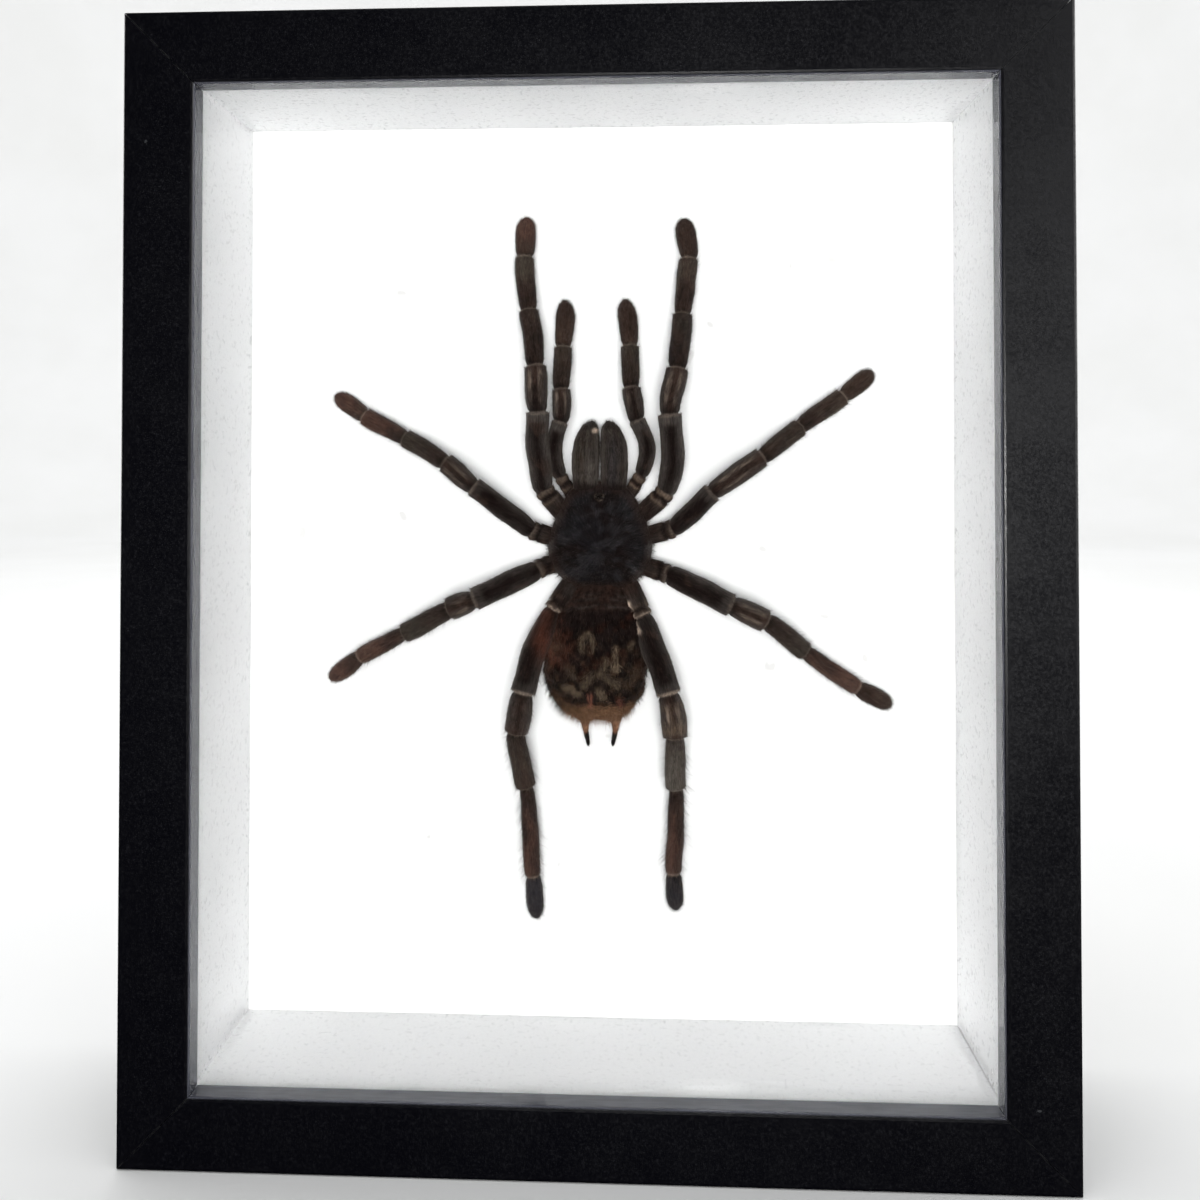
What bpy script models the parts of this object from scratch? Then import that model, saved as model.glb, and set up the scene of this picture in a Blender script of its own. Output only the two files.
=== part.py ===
"""A dried tarantula in a black shadow-box frame.

Run in Blender: blender --background --python part.py

Units are metres and +Z is up. The frame stands on its bottom edge and its front faces -Y. The origin is on
the ground, below the middle of the whole object. Left and right are the viewer's, in front of the frame.
"""

import math

import bmesh
import bpy
from mathutils import Matrix, Vector

MM = 0.001
UP = Vector((0, 0, 1))
AWAY_FROM_BOARD = Vector((0, -1, 0))

# ---------------------------------------------------------------------------
# Driving dimensions of the frame
# ---------------------------------------------------------------------------
GAP = 0.3 * MM                      # clearance between pieces that touch
MITRE_GAP = 0.1 * MM                # between two sides where they meet at a corner

GLASS_WIDTH = 203.2 * MM            # an 8 x 10 inch frame
GLASS_HEIGHT = 254.0 * MM
GLASS_THICKNESS = 2.0 * MM
LIP_OVERLAP = 6.35 * MM             # how far the lip covers the glass on each side
LIP_THICKNESS = 5.0 * MM
FACE_WIDTH = 17.5 * MM
FRAME_DEPTH = 50.8 * MM
EDGE_RADIUS = 0.9 * MM
EDGE_STEPS = 3                      # faces round each rounded edge
GLASS_PLAY = 0.8 * MM               # between the glass's edge and the moulding's wall

CHAMBER_DEPTH = 38.0 * MM           # from the back of the lip to the mount board
LINER_THICKNESS = 4.6 * MM
LINER_SETBACK = 2.1 * MM            # liner's inner face, behind the edge of the lip
BOARD_THICKNESS = 2.0 * MM
PANEL_THICKNESS = 3.0 * MM

POINT_SIZE = Vector((8.0, 16.0, 0.6)) * MM      # width, length and thickness of a frame point
POINT_BITE = 6.0 * MM                           # length of the point inside the wood
POINT_PLACES = (-0.3, 0.3)                      # along each side, as a share of its length

HANGER_LENGTH = 46.0 * MM
HANGER_HEIGHT = 7.6 * MM
HANGER_THICKNESS = 0.6 * MM
HANGER_RISE = 1.2 * MM              # how far its middle stands off the wood
HANGER_FOOT = 8.0 * MM              # flat length at each end, where the nail goes in
HANGER_RAMP = 2.0 * MM              # length of the slope from each foot up to the middle
HANGER_TEETH = 9
HANGER_TOOTH_DEPTH = 1.5 * MM
NAIL_RADIUS = 0.6 * MM
NAIL_LENGTH = 9.0 * MM
NAIL_POINT_LENGTH = 1.5 * MM
NAIL_POINT_RADIUS = 0.2 * MM
NAIL_HEAD_RADIUS = 1.5 * MM
NAIL_HEAD_THICKNESS = 0.5 * MM
NAIL_SIDES = 12
NAIL_SMOOTH_ANGLE = 40              # degrees

# Worked out from those
SIGHT_WIDTH = GLASS_WIDTH - 2 * LIP_OVERLAP
SIGHT_HEIGHT = GLASS_HEIGHT - 2 * LIP_OVERLAP
FRAME_HEIGHT = SIGHT_HEIGHT + 2 * FACE_WIDTH
RABBET = LIP_OVERLAP + GLASS_PLAY   # from the sight edge to the inside of the moulding's wall
HANGER_PROUD = GAP + HANGER_RISE + HANGER_THICKNESS
FRONT_Y = -(FRAME_DEPTH + HANGER_PROUD) / 2
BACK_Y = FRONT_Y + FRAME_DEPTH
CENTRE_Z = FRAME_HEIGHT / 2
BOARD_Y = FRONT_Y + LIP_THICKNESS + CHAMBER_DEPTH
PANEL_Y = BOARD_Y + BOARD_THICKNESS + GAP
POINT_Y = PANEL_Y + PANEL_THICKNESS + GAP

# ---------------------------------------------------------------------------
# Driving dimensions of the specimen, in millimetres
#
# "across" is to the right and "along" is towards the head, both from the middle of the carapace.
# "above" is the height over the mount board.
# ---------------------------------------------------------------------------
SPECIMEN_ACROSS = 0.9               # middle of the carapace, from the middle of the frame
SPECIMEN_ALONG = 9.6

LIMB_SIDES = 10
BODY_SIDES = 20
CHELICERA_SIDES = 12
SPINNERET_SIDES = 8
LIMB_SMOOTH_ANGLE = 60              # degrees
BODY_SMOOTH_ANGLE = 50
FLATNESS = 0.84                     # height of a limb's section over its width

# Each limb: its root (across, along), how far its femur bows sideways, and then the length in plan and the
# heading, in degrees from +X, of every segment: coxa, femur, patella, tibia, metatarsus and tarsus. A
# pedipalp has no metatarsus.
LIMBS = {
    "leg_1_left": ((-12.6, 7.4), 0.9, (
        (6.0, 117), (20.9, 92), (12.3, 95), (15.6, 98), (15.3, 97), (10.9, 87))),
    "leg_1_right": ((15.2, 7.8), -1.2, (
        (5.2, 60), (20.7, 88), (12.2, 81), (15.2, 82), (15.7, 85), (11.0, 96))),
    "leg_2_left": ((-16.2, -0.3), 0.0, (
        (3.4, 144), (18.7, 140), (10.3, 142), (13.5, 151), (13.5, 153), (10.3, 146))),
    "leg_2_right": ((15.9, 0.2), 0.0, (
        (4.3, 28), (14.6, 44), (15.6, 36), (13.6, 36), (14.6, 35), (10.4, 40))),
    "leg_3_left": ((-15.1, -8.5), 0.0, (
        (2.2, -168), (17.6, -155), (7.6, -159), (15.0, -150), (14.9, -152), (10.6, -143))),
    "leg_3_right": ((15.2, -9.8), 0.0, (
        (3.2, -5), (18.4, -24), (9.8, -25), (14.0, -40), (17.8, -35), (10.1, -29))),
    "leg_4_left": ((-10.8, -16.0), -0.9, (
        (4.5, -110), (22.3, -111), (10.8, -100), (16.1, -82), (25.1, -86), (11.8, -88))),
    "leg_4_right": ((9.7, -16.4), 0.5, (
        (5.6, -74), (20.4, -70), (11.7, -81), (14.9, -89), (24.0, -91), (10.2, -87))),
    "pedipalp_left": ((-9.4, 14.4), 1.6, (
        (2.2, 120), (14.8, 90), (8.7, 89), (11.7, 88), (12.9, 90))),
    "pedipalp_right": ((9.4, 14.2), -2.2, (
        (3.2, 50), (14.9, 98), (8.9, 96), (11.5, 91), (12.9, 98))),
}

# Height above the board at the root and at the far end of each segment
LEG_HEIGHTS = (7.0, 8.5, 14.0, 12.5, 7.0, 4.0, 2.6)
PALP_HEIGHTS = (7.5, 8.0, 10.5, 9.0, 5.5, 3.0)

# Full width of each segment
SEGMENT_WIDTHS = {
    "leg_1": (5.2, 6.1, 5.9, 5.3, 5.1, 5.2),
    "leg_2": (5.0, 5.4, 5.4, 4.9, 4.7, 4.6),
    "leg_3": (5.0, 5.9, 5.8, 5.1, 4.3, 4.6),
    "leg_4": (5.2, 6.1, 6.2, 5.3, 4.2, 4.4),
    "pedipalp": (3.4, 4.2, 4.9, 4.8, 4.9),
}

# Share of its full width that a segment has at each point along it; it is pinched at the joints
SEGMENT_SHAPE = ((0.10, 0.90), (0.50, 1.00), (0.90, 0.92))
JOINT_PINCH = 0.78
ROOT_FULLNESS = 0.60                # of the coxa's width, at its inner end
TIP_FULLNESS = 0.45                 # of the tarsus's width, at its tip

# Each leg's coxa starts further in than its root, as close to the prosoma as this lets it come
COXA_CLEARANCE = 0.5
COXA_STEP = 0.1

# Sections of the body, head to tail: (along, half width, lowest, highest)
PROSOMA_SECTIONS = (
    (14.0, 5.2, 6.6, 12.2), (13.2, 7.4, 5.2, 13.6), (10.5, 9.2, 4.3, 15.2), (6.5, 11.0, 3.9, 15.4),
    (2.0, 13.0, 3.7, 15.0), (-3.5, 14.0, 3.7, 14.4), (-8.0, 12.9, 3.9, 13.2), (-11.5, 9.8, 4.4, 12.0),
    (-13.4, 6.4, 5.4, 10.8), (-14.0, 3.6, 6.8, 9.6),
)
ABDOMEN_SECTIONS = (
    (-14.4, 1.6, 7.2, 9.2), (-16.0, 1.9, 6.6, 9.6), (-17.4, 4.6, 5.0, 11.0), (-20.0, 7.2, 3.4, 12.8),
    (-25.0, 9.9, 2.2, 14.2), (-31.0, 12.2, 1.5, 14.8), (-37.0, 13.8, 1.4, 14.4), (-41.5, 13.2, 1.8, 13.2),
    (-45.5, 10.1, 2.6, 11.2), (-48.2, 7.0, 3.6, 9.0), (-49.4, 3.8, 4.8, 7.4),
)
ABDOMEN_LEAN = -0.05                # how the abdomen's middle drifts sideways along its length

EYE_TUBERCLE = (0.0, 10.9, 14.6)    # across, along, above
EYE_TUBERCLE_RADIUS = 1.9
EYE_TUBERCLE_DETAIL = 2             # times its faces are divided

CHELICERA_SECTIONS = (              # along, middle, half width, lowest, highest
    (14.6, 3.9, 2.2, 7.4, 11.0), (15.2, 3.9, 3.2, 6.4, 12.4), (18.0, 4.0, 3.7, 5.0, 13.7),
    (22.0, 4.0, 3.8, 4.4, 13.4), (25.0, 3.8, 3.5, 4.2, 12.4), (27.4, 3.3, 3.0, 4.4, 11.1),
    (29.4, 2.7, 2.2, 4.9, 9.5), (30.6, 2.4, 1.3, 5.6, 8.3), (31.0, 2.3, 0.6, 6.2, 7.6),
)
SPINNERET_ROOT = (4.1, -49.9, 5.6)
SPINNERET_TIP = (3.5, -57.0, 4.4)
SPINNERET_WIDTHS = ((0.0, 2.6), (0.12, 2.4), (0.38, 1.7), (0.42, 1.5), (0.85, 1.3), (1.0, 0.7))

GLUE_PLACE = (0.0, -1.0)            # across, along
GLUE_SECTIONS = ((0.3, 6.6), (1.2, 6.9), (2.4, 5.2), (3.3, 3.6))    # above the board, radius
GLUE_SIDES = 16


# ---------------------------------------------------------------------------
# Helpers
# ---------------------------------------------------------------------------
def clear_scene():
    for scene_object in list(bpy.data.objects):
        bpy.data.objects.remove(scene_object, do_unlink=True)


def make_material(name, color, roughness, metallic=0.0, transmission=0.0):
    material = bpy.data.materials.new(name)
    material.use_nodes = True
    shader = material.node_tree.nodes["Principled BSDF"]
    shader.inputs["Base Color"].default_value = (*color, 1.0)
    shader.inputs["Roughness"].default_value = roughness
    shader.inputs["Metallic"].default_value = metallic
    shader.inputs["Transmission Weight"].default_value = transmission
    material.diffuse_color = (*color, 1.0)
    return material


def add_object(name, mesh_builder, material, smooth_angle=None):
    """Turn a bmesh into a named object with outward faces."""
    bmesh.ops.recalc_face_normals(mesh_builder, faces=mesh_builder.faces)
    mesh = bpy.data.meshes.new(name)
    mesh_builder.to_mesh(mesh)
    mesh_builder.free()
    mesh.materials.append(material)
    if smooth_angle is not None:
        mesh.shade_smooth()
        mesh.set_sharp_from_angle(angle=math.radians(smooth_angle))
    scene_object = bpy.data.objects.new(name, mesh)
    bpy.context.scene.collection.objects.link(scene_object)
    return scene_object


def skin_rings(rings):
    """Join closed rings of points into one skin, and cap both ends."""
    builder = bmesh.new()
    skins = [[builder.verts.new(point) for point in ring] for ring in rings]
    count = len(skins[0])
    for near, far in zip(skins, skins[1:]):
        for index in range(count):
            following = (index + 1) % count
            builder.faces.new((near[index], near[following], far[following], far[index]))
    builder.faces.new(skins[0])
    builder.faces.new(skins[-1])
    return builder


def circle_ring(centre, radius, sides):
    """A circle in a plane parallel to the front of the frame."""
    ring = []
    for index in range(sides):
        angle = math.tau * index / sides
        ring.append(centre + Vector((math.cos(angle), 0, math.sin(angle))) * radius)
    return ring


def add_box(name, low, high, material):
    rings = []
    for y in (low[1], high[1]):
        corners = ((low[0], low[2]), (high[0], low[2]), (high[0], high[2]), (low[0], high[2]))
        rings.append([Vector((x, y, z)) for x, z in corners])
    return add_object(name, skin_rings(rings), material)


def cut(target, cutter):
    """Subtract a cutter that stays in the file as a hidden guide."""
    cutter.hide_render = True
    cutter.display_type = "WIRE"
    modifier = target.modifiers.new("cut_" + cutter.name, "BOOLEAN")
    modifier.operation = "DIFFERENCE"
    modifier.solver = "EXACT"
    modifier.object = cutter


def specimen_point(across, along, above):
    """A point of the specimen, given in millimetres, in the frame's metres."""
    x = (SPECIMEN_ACROSS + across) * MM
    z = CENTRE_Z + (SPECIMEN_ALONG + along) * MM
    return Vector((x, BOARD_Y - above * MM, z))


# ---------------------------------------------------------------------------
# The four sides of the frame
# ---------------------------------------------------------------------------
SIDES = {                            # name: (turn about the viewing axis, length of the sight edge)
    "bottom": (0, SIGHT_WIDTH),
    "right": (90, SIGHT_HEIGHT),
    "top": (180, SIGHT_WIDTH),
    "left": (270, SIGHT_HEIGHT),
}


def side_placement(side):
    """Local frame of a side: X along the edge, Y back into the frame, -Z outwards from the sight edge."""
    turn, length = SIDES[side]
    reach = SIGHT_HEIGHT / 2 if side in ("top", "bottom") else SIGHT_WIDTH / 2
    rotation = Matrix.Rotation(math.radians(-turn), 4, "Y")
    centre = Matrix.Translation((0, FRONT_Y, CENTRE_Z))
    return centre @ rotation @ Matrix.Translation((0, 0, -reach)), length


def mitred_bar(profile, length, clearance):
    """Extrude (outwards, depth) points along X with both ends cut at 45 degrees."""
    rings = []
    for end in (-1, 1):
        ring = []
        for outwards, depth in profile:
            reach = length / 2 + outwards - clearance / math.sqrt(2)
            ring.append(Vector((end * reach, depth, -outwards)))
        rings.append(ring)
    return skin_rings(rings)


def rounded_corner(centre, radius, start):
    """Points on a quarter circle, from the start angle in degrees."""
    points = []
    for step in range(EDGE_STEPS + 1):
        angle = math.radians(start + 90 * step / EDGE_STEPS)
        points.append((centre[0] + radius * math.cos(angle), centre[1] + radius * math.sin(angle)))
    return points


def moulding_profile():
    """L-shaped section: a lip over the glass and a deep wall round the chamber."""
    radius = EDGE_RADIUS
    profile = rounded_corner((radius, radius), radius, 180)
    profile += rounded_corner((FACE_WIDTH - radius, radius), radius, 270)
    profile += [
        (FACE_WIDTH, FRAME_DEPTH),
        (RABBET, FRAME_DEPTH),
        (RABBET, LIP_THICKNESS),
        (0, LIP_THICKNESS),
    ]
    return profile


def liner_profile():
    front = LIP_THICKNESS + GAP + GLASS_THICKNESS + GAP
    back = LIP_THICKNESS + CHAMBER_DEPTH - GAP
    inner = LINER_SETBACK
    outer = LINER_SETBACK + LINER_THICKNESS
    return [(inner, front), (outer, front), (outer, back), (inner, back)]


def add_point(side, place, number, moulding, material):
    """A steel point pushed into the moulding's wall, and the slot it sits in."""
    placement, length = side_placement(side)
    width, reach, thickness = POINT_SIZE
    start = RABBET + POINT_BITE
    middle = place * length
    depth = POINT_Y - FRONT_Y

    def slab(name, margin, tip, slab_material):
        rings = []
        for level in (depth - margin, depth + thickness + margin):
            half = width / 2 + margin
            near = -(start + margin)
            far = -tip
            left, right = middle - half, middle + half
            corners = ((left, near), (right, near), (right, far), (left, far))
            rings.append([Vector((x, level, z)) for x, z in corners])
        slab_object = add_object(name, skin_rings(rings), slab_material)
        slab_object.data.transform(placement)
        return slab_object

    slab("frame_point_%s_%d" % (side, number), 0, start - reach, material)
    cut(moulding, slab("slot_%s_%d" % (side, number), GAP, RABBET - GAP, material))


def add_frame_sides(wood, liner_card, steel):
    mouldings = {}
    for side in SIDES:
        placement, length = side_placement(side)
        bar = mitred_bar(moulding_profile(), length, MITRE_GAP)
        mouldings[side] = add_object("moulding_" + side, bar, wood)
        mouldings[side].data.transform(placement)
        strip = add_object("liner_" + side, mitred_bar(liner_profile(), length, MITRE_GAP), liner_card)
        strip.data.transform(placement)
        for number, place in enumerate(POINT_PLACES, start=1):
            add_point(side, place, number, mouldings[side], steel)
    return mouldings


def add_sheets(glass, card, hardboard):
    """The flat sheets of the case, front to back."""
    glass_y = FRONT_Y + LIP_THICKNESS + GAP
    sheets = (
        ("glazing", glass_y, GLASS_THICKNESS, glass),
        ("mount_board", BOARD_Y, BOARD_THICKNESS, card),
        ("back_panel", PANEL_Y, PANEL_THICKNESS, hardboard),
    )
    for name, front, thickness, material in sheets:
        low = (-GLASS_WIDTH / 2, front, CENTRE_Z - GLASS_HEIGHT / 2)
        high = (GLASS_WIDTH / 2, front + thickness, CENTRE_Z + GLASS_HEIGHT / 2)
        add_box(name, low, high, material)


# ---------------------------------------------------------------------------
# The hanger
# ---------------------------------------------------------------------------
HANGER_Z = FRAME_HEIGHT - (FACE_WIDTH - RABBET) / 2
HANGER_NAIL_X = (HANGER_LENGTH - HANGER_FOOT) / 2


def add_hanger(top_moulding, steel):
    """A sawtooth strip: flat feet, a raised middle, and teeth along the middle's lower edge."""
    toothed = HANGER_LENGTH - 2 * HANGER_FOOT - 2 * HANGER_RAMP
    pitch = toothed / HANGER_TEETH
    low = HANGER_Z - HANGER_HEIGHT / 2
    stations = [(-HANGER_LENGTH / 2, low, 0), (-toothed / 2 - HANGER_RAMP, low, 0)]
    for half_pitch in range(2 * HANGER_TEETH + 1):
        notch = HANGER_TOOTH_DEPTH if half_pitch % 2 else 0
        stations.append((-toothed / 2 + half_pitch * pitch / 2, low + notch, HANGER_RISE))
    stations += [(toothed / 2 + HANGER_RAMP, low, 0), (HANGER_LENGTH / 2, low, 0)]
    rings = []
    for x, bottom, rise in stations:
        near = BACK_Y + GAP + rise
        far = near + HANGER_THICKNESS
        top = HANGER_Z + HANGER_HEIGHT / 2
        corners = ((near, bottom), (far, bottom), (far, top), (near, top))
        rings.append([Vector((x, y, z)) for y, z in corners])
    hanger = add_object("hanger", skin_rings(rings), steel)
    for side, x in (("left", -HANGER_NAIL_X), ("right", HANGER_NAIL_X)):
        drill = add_nail("drill_" + side, x, steel, GAP, straight=True)
        cut(hanger, drill)
        cut(top_moulding, drill)
        add_nail("hanger_nail_" + side, x, steel, 0)


def add_nail(name, x, material, margin, straight=False):
    """A round nail driven forwards into the wood; the straight one is the hole drilled for it."""
    seat = BACK_Y + 2 * GAP + HANGER_THICKNESS
    tip = seat - NAIL_LENGTH
    shank = NAIL_RADIUS + margin
    if straight:
        steps = ((tip - margin, shank), (seat + NAIL_HEAD_THICKNESS, shank))
    else:
        head = NAIL_HEAD_RADIUS
        top = seat + NAIL_HEAD_THICKNESS
        steps = (
            (tip, NAIL_POINT_RADIUS), (tip + NAIL_POINT_LENGTH, shank),
            (seat, shank), (seat, head), (top, head),
        )
    rings = []
    for y, radius in steps:
        rings.append(circle_ring(Vector((x, y, HANGER_Z)), radius, NAIL_SIDES))
    return add_object(name, skin_rings(rings), material, NAIL_SMOOTH_ANGLE)


# ---------------------------------------------------------------------------
# The specimen
# ---------------------------------------------------------------------------
def section_ring(centre, direction, half_width, half_height, sides):
    """An ellipse across a direction, with its height pointing away from the board."""
    direction = direction.normalized()
    up = (AWAY_FROM_BOARD - direction * AWAY_FROM_BOARD.dot(direction)).normalized()
    side = direction.cross(up)
    ring = []
    for index in range(sides):
        angle = math.tau * (index + 0.5) / sides
        ring.append(centre + side * (half_width * math.cos(angle)) + up * (half_height * math.sin(angle)))
    return ring


def body_rings(sections, lean, sides):
    """Ellipses stacked along the body's length, from (along, half width, lowest, highest)."""
    rings = []
    for along, half_width, lowest, highest in sections:
        across = lean * (sections[0][0] - along)
        centre = specimen_point(across, along, (lowest + highest) / 2)
        half_height = (highest - lowest) / 2 * MM
        rings.append(section_ring(centre, UP, half_width * MM, half_height, sides))
    return rings


def add_prosoma(material):
    rings = body_rings(PROSOMA_SECTIONS, 0, BODY_SIDES)
    prosoma = add_object("prosoma", skin_rings(rings), material, BODY_SMOOTH_ANGLE)
    tubercle = bmesh.new()
    bmesh.ops.create_icosphere(
        tubercle, subdivisions=EYE_TUBERCLE_DETAIL, radius=EYE_TUBERCLE_RADIUS * MM)
    bmesh.ops.translate(tubercle, vec=specimen_point(*EYE_TUBERCLE), verts=tubercle.verts)
    guide = add_object("eye_tubercle_guide", tubercle, material)
    guide.hide_render = True
    guide.display_type = "WIRE"
    union = prosoma.modifiers.new("eye_tubercle", "BOOLEAN")
    union.operation = "UNION"
    union.solver = "EXACT"
    union.object = guide


def add_abdomen(material):
    rings = body_rings(ABDOMEN_SECTIONS, ABDOMEN_LEAN, BODY_SIDES)
    add_object("abdomen", skin_rings(rings), material, BODY_SMOOTH_ANGLE)


def add_chelicerae(material):
    for side, sign in (("left", -1), ("right", 1)):
        rings = []
        for along, middle, half_width, lowest, highest in CHELICERA_SECTIONS:
            centre = specimen_point(sign * middle, along, (lowest + highest) / 2)
            half_height = (highest - lowest) / 2 * MM
            rings.append(section_ring(centre, UP, half_width * MM, half_height, CHELICERA_SIDES))
        add_object("chelicera_" + side, skin_rings(rings), material, BODY_SMOOTH_ANGLE)


def prosoma_half_width(along, above):
    """Half the prosoma's width at a place along it and a height above the board; 0 outside it."""
    tail_first = sorted(PROSOMA_SECTIONS)
    for near, far in zip(tail_first, tail_first[1:]):
        if near[0] <= along <= far[0]:
            share = (along - near[0]) / (far[0] - near[0])
            widest, lowest, highest = [a + (b - a) * share for a, b in zip(near[1:], far[1:])]
            level = (2 * above - lowest - highest) / (highest - lowest)
            return widest * math.sqrt(max(0.0, 1 - level * level))
    return 0.0


def coxa_start(root, height, width):
    """The root moved towards the middle of the prosoma until the coxa's end would come too close to it."""
    start = Vector((*root, height))
    inwards = Vector((-root[0], -root[1], 0)).normalized()
    half_width = width / 2 * SEGMENT_SHAPE[0][1]
    while True:
        following = start + inwards * COXA_STEP
        for index in range(LIMB_SIDES):
            angle = math.tau * index / LIMB_SIDES
            sideways = Vector((-inwards.y, inwards.x, 0)) * (half_width * math.cos(angle))
            rim = following + sideways + UP * (half_width * FLATNESS * math.sin(angle))
            if abs(rim.x) < prosoma_half_width(rim.y, rim.z) + COXA_CLEARANCE:
                return start
        start = following


def limb_joints(root, segments, heights, start):
    """Joint points of a limb, from the start of its coxa to its tip."""
    across, along = root
    joints = [specimen_point(*start)]
    for (length, heading), height in zip(segments, heights[1:]):
        across += length * math.cos(math.radians(heading))
        along += length * math.sin(math.radians(heading))
        joints.append(specimen_point(across, along, height))
    return joints


def limb_rings(joints, widths, femur_bow):
    """Rings along a limb: full in the middle of each segment and pinched at each joint."""
    rings = []

    def ring_at(centre, direction, width):
        rings.append(section_ring(centre, direction, width / 2 * MM, width / 2 * FLATNESS * MM, LIMB_SIDES))

    first = joints[1] - joints[0]
    ring_at(joints[0], first, widths[0] * ROOT_FULLNESS)
    for number, (near, far) in enumerate(zip(joints, joints[1:])):
        direction = far - near
        sideways = direction.cross(AWAY_FROM_BOARD).normalized()
        bow = femur_bow * MM if number == 1 else 0
        for share, fullness in SEGMENT_SHAPE:
            centre = near + direction * share - sideways * bow * math.sin(math.pi * share)
            ring_at(centre, direction, widths[number] * fullness)
        if number + 1 < len(widths):
            onwards = direction.normalized() + (joints[number + 2] - far).normalized()
            ring_at(far, onwards, min(widths[number], widths[number + 1]) * JOINT_PINCH)
        else:
            ring_at(far, direction, widths[number] * TIP_FULLNESS)
    return rings


def add_limbs(material):
    for name, (root, femur_bow, segments) in LIMBS.items():
        kind = name.rsplit("_", 1)[0]
        widths = SEGMENT_WIDTHS[kind]
        if kind == "pedipalp":
            heights = PALP_HEIGHTS
            start = (*root, heights[0])
        else:
            heights = LEG_HEIGHTS
            start = coxa_start(root, heights[0], widths[0])
        joints = limb_joints(root, segments, heights, start)
        rings = limb_rings(joints, widths, femur_bow)
        add_object(name, skin_rings(rings), material, LIMB_SMOOTH_ANGLE)


def add_spinnerets(material):
    for side, sign in (("left", -1), ("right", 1)):
        root = specimen_point(sign * SPINNERET_ROOT[0], *SPINNERET_ROOT[1:])
        tip = specimen_point(sign * SPINNERET_TIP[0], *SPINNERET_TIP[1:])
        direction = tip - root
        rings = []
        for share, width in SPINNERET_WIDTHS:
            radius = width / 2 * MM
            centre = root + direction * share
            rings.append(section_ring(centre, direction, radius, radius, SPINNERET_SIDES))
        add_object("spinneret_" + side, skin_rings(rings), material, BODY_SMOOTH_ANGLE)


def add_glue_dab(material):
    rings = []
    for above, radius in GLUE_SECTIONS:
        rings.append(circle_ring(specimen_point(*GLUE_PLACE, above), radius * MM, GLUE_SIDES))
    add_object("glue_dab", skin_rings(rings), material, BODY_SMOOTH_ANGLE)


# ---------------------------------------------------------------------------
# The whole object
# ---------------------------------------------------------------------------
def main():
    clear_scene()
    wood = make_material("black_wood", (0.012, 0.012, 0.014), 0.35)
    glass = make_material("clear_glass", (0.95, 0.98, 0.97), 0.02, transmission=1.0)
    liner_card = make_material("white_liner", (0.80, 0.81, 0.81), 0.25)
    card = make_material("white_card", (0.90, 0.90, 0.90), 0.75)
    hardboard = make_material("hardboard", (0.20, 0.11, 0.06), 0.70)
    steel = make_material("zinced_steel", (0.60, 0.60, 0.62), 0.30, metallic=1.0)
    body_cuticle = make_material("dark_cuticle", (0.020, 0.018, 0.019), 0.50)
    jaw_cuticle = make_material("jaw_cuticle", (0.065, 0.060, 0.050), 0.50)
    abdomen_hide = make_material("abdomen_hide", (0.030, 0.018, 0.014), 0.85)
    limb_cuticle = make_material("limb_cuticle", (0.045, 0.035, 0.030), 0.65)
    spinneret_skin = make_material("spinneret_skin", (0.050, 0.030, 0.022), 0.70)
    glue = make_material("clear_glue", (0.80, 0.76, 0.66), 0.30)

    mouldings = add_frame_sides(wood, liner_card, steel)
    add_sheets(glass, card, hardboard)
    add_hanger(mouldings["top"], steel)
    add_prosoma(body_cuticle)
    add_abdomen(abdomen_hide)
    add_chelicerae(jaw_cuticle)
    add_limbs(limb_cuticle)
    add_spinnerets(spinneret_skin)
    add_glue_dab(glue)


main()
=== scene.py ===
"""The looks of the framed tarantula: finishes for the frame, and the specimen modelled with its hairs."""

import math

import bpy
import numpy as np
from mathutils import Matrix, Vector


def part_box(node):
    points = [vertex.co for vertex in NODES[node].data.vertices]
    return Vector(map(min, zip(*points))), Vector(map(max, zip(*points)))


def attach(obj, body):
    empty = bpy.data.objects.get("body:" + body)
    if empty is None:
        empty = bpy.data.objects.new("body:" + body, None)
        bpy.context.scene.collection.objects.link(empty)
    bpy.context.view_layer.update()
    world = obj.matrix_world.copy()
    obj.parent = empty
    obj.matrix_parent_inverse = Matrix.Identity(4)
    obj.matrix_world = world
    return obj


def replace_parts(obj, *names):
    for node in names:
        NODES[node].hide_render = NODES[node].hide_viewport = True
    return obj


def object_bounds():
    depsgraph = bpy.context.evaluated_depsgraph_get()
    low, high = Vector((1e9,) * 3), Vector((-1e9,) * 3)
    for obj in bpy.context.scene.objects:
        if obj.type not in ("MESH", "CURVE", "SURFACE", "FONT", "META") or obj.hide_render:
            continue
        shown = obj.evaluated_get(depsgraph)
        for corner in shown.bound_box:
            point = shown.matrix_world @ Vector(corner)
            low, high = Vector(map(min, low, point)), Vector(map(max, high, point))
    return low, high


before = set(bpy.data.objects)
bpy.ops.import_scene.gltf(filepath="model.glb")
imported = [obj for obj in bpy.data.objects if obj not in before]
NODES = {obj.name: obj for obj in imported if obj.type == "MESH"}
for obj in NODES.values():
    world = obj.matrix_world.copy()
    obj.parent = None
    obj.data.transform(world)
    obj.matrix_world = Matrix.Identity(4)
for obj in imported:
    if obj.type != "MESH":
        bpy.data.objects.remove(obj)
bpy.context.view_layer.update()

MM = 0.001

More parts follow.
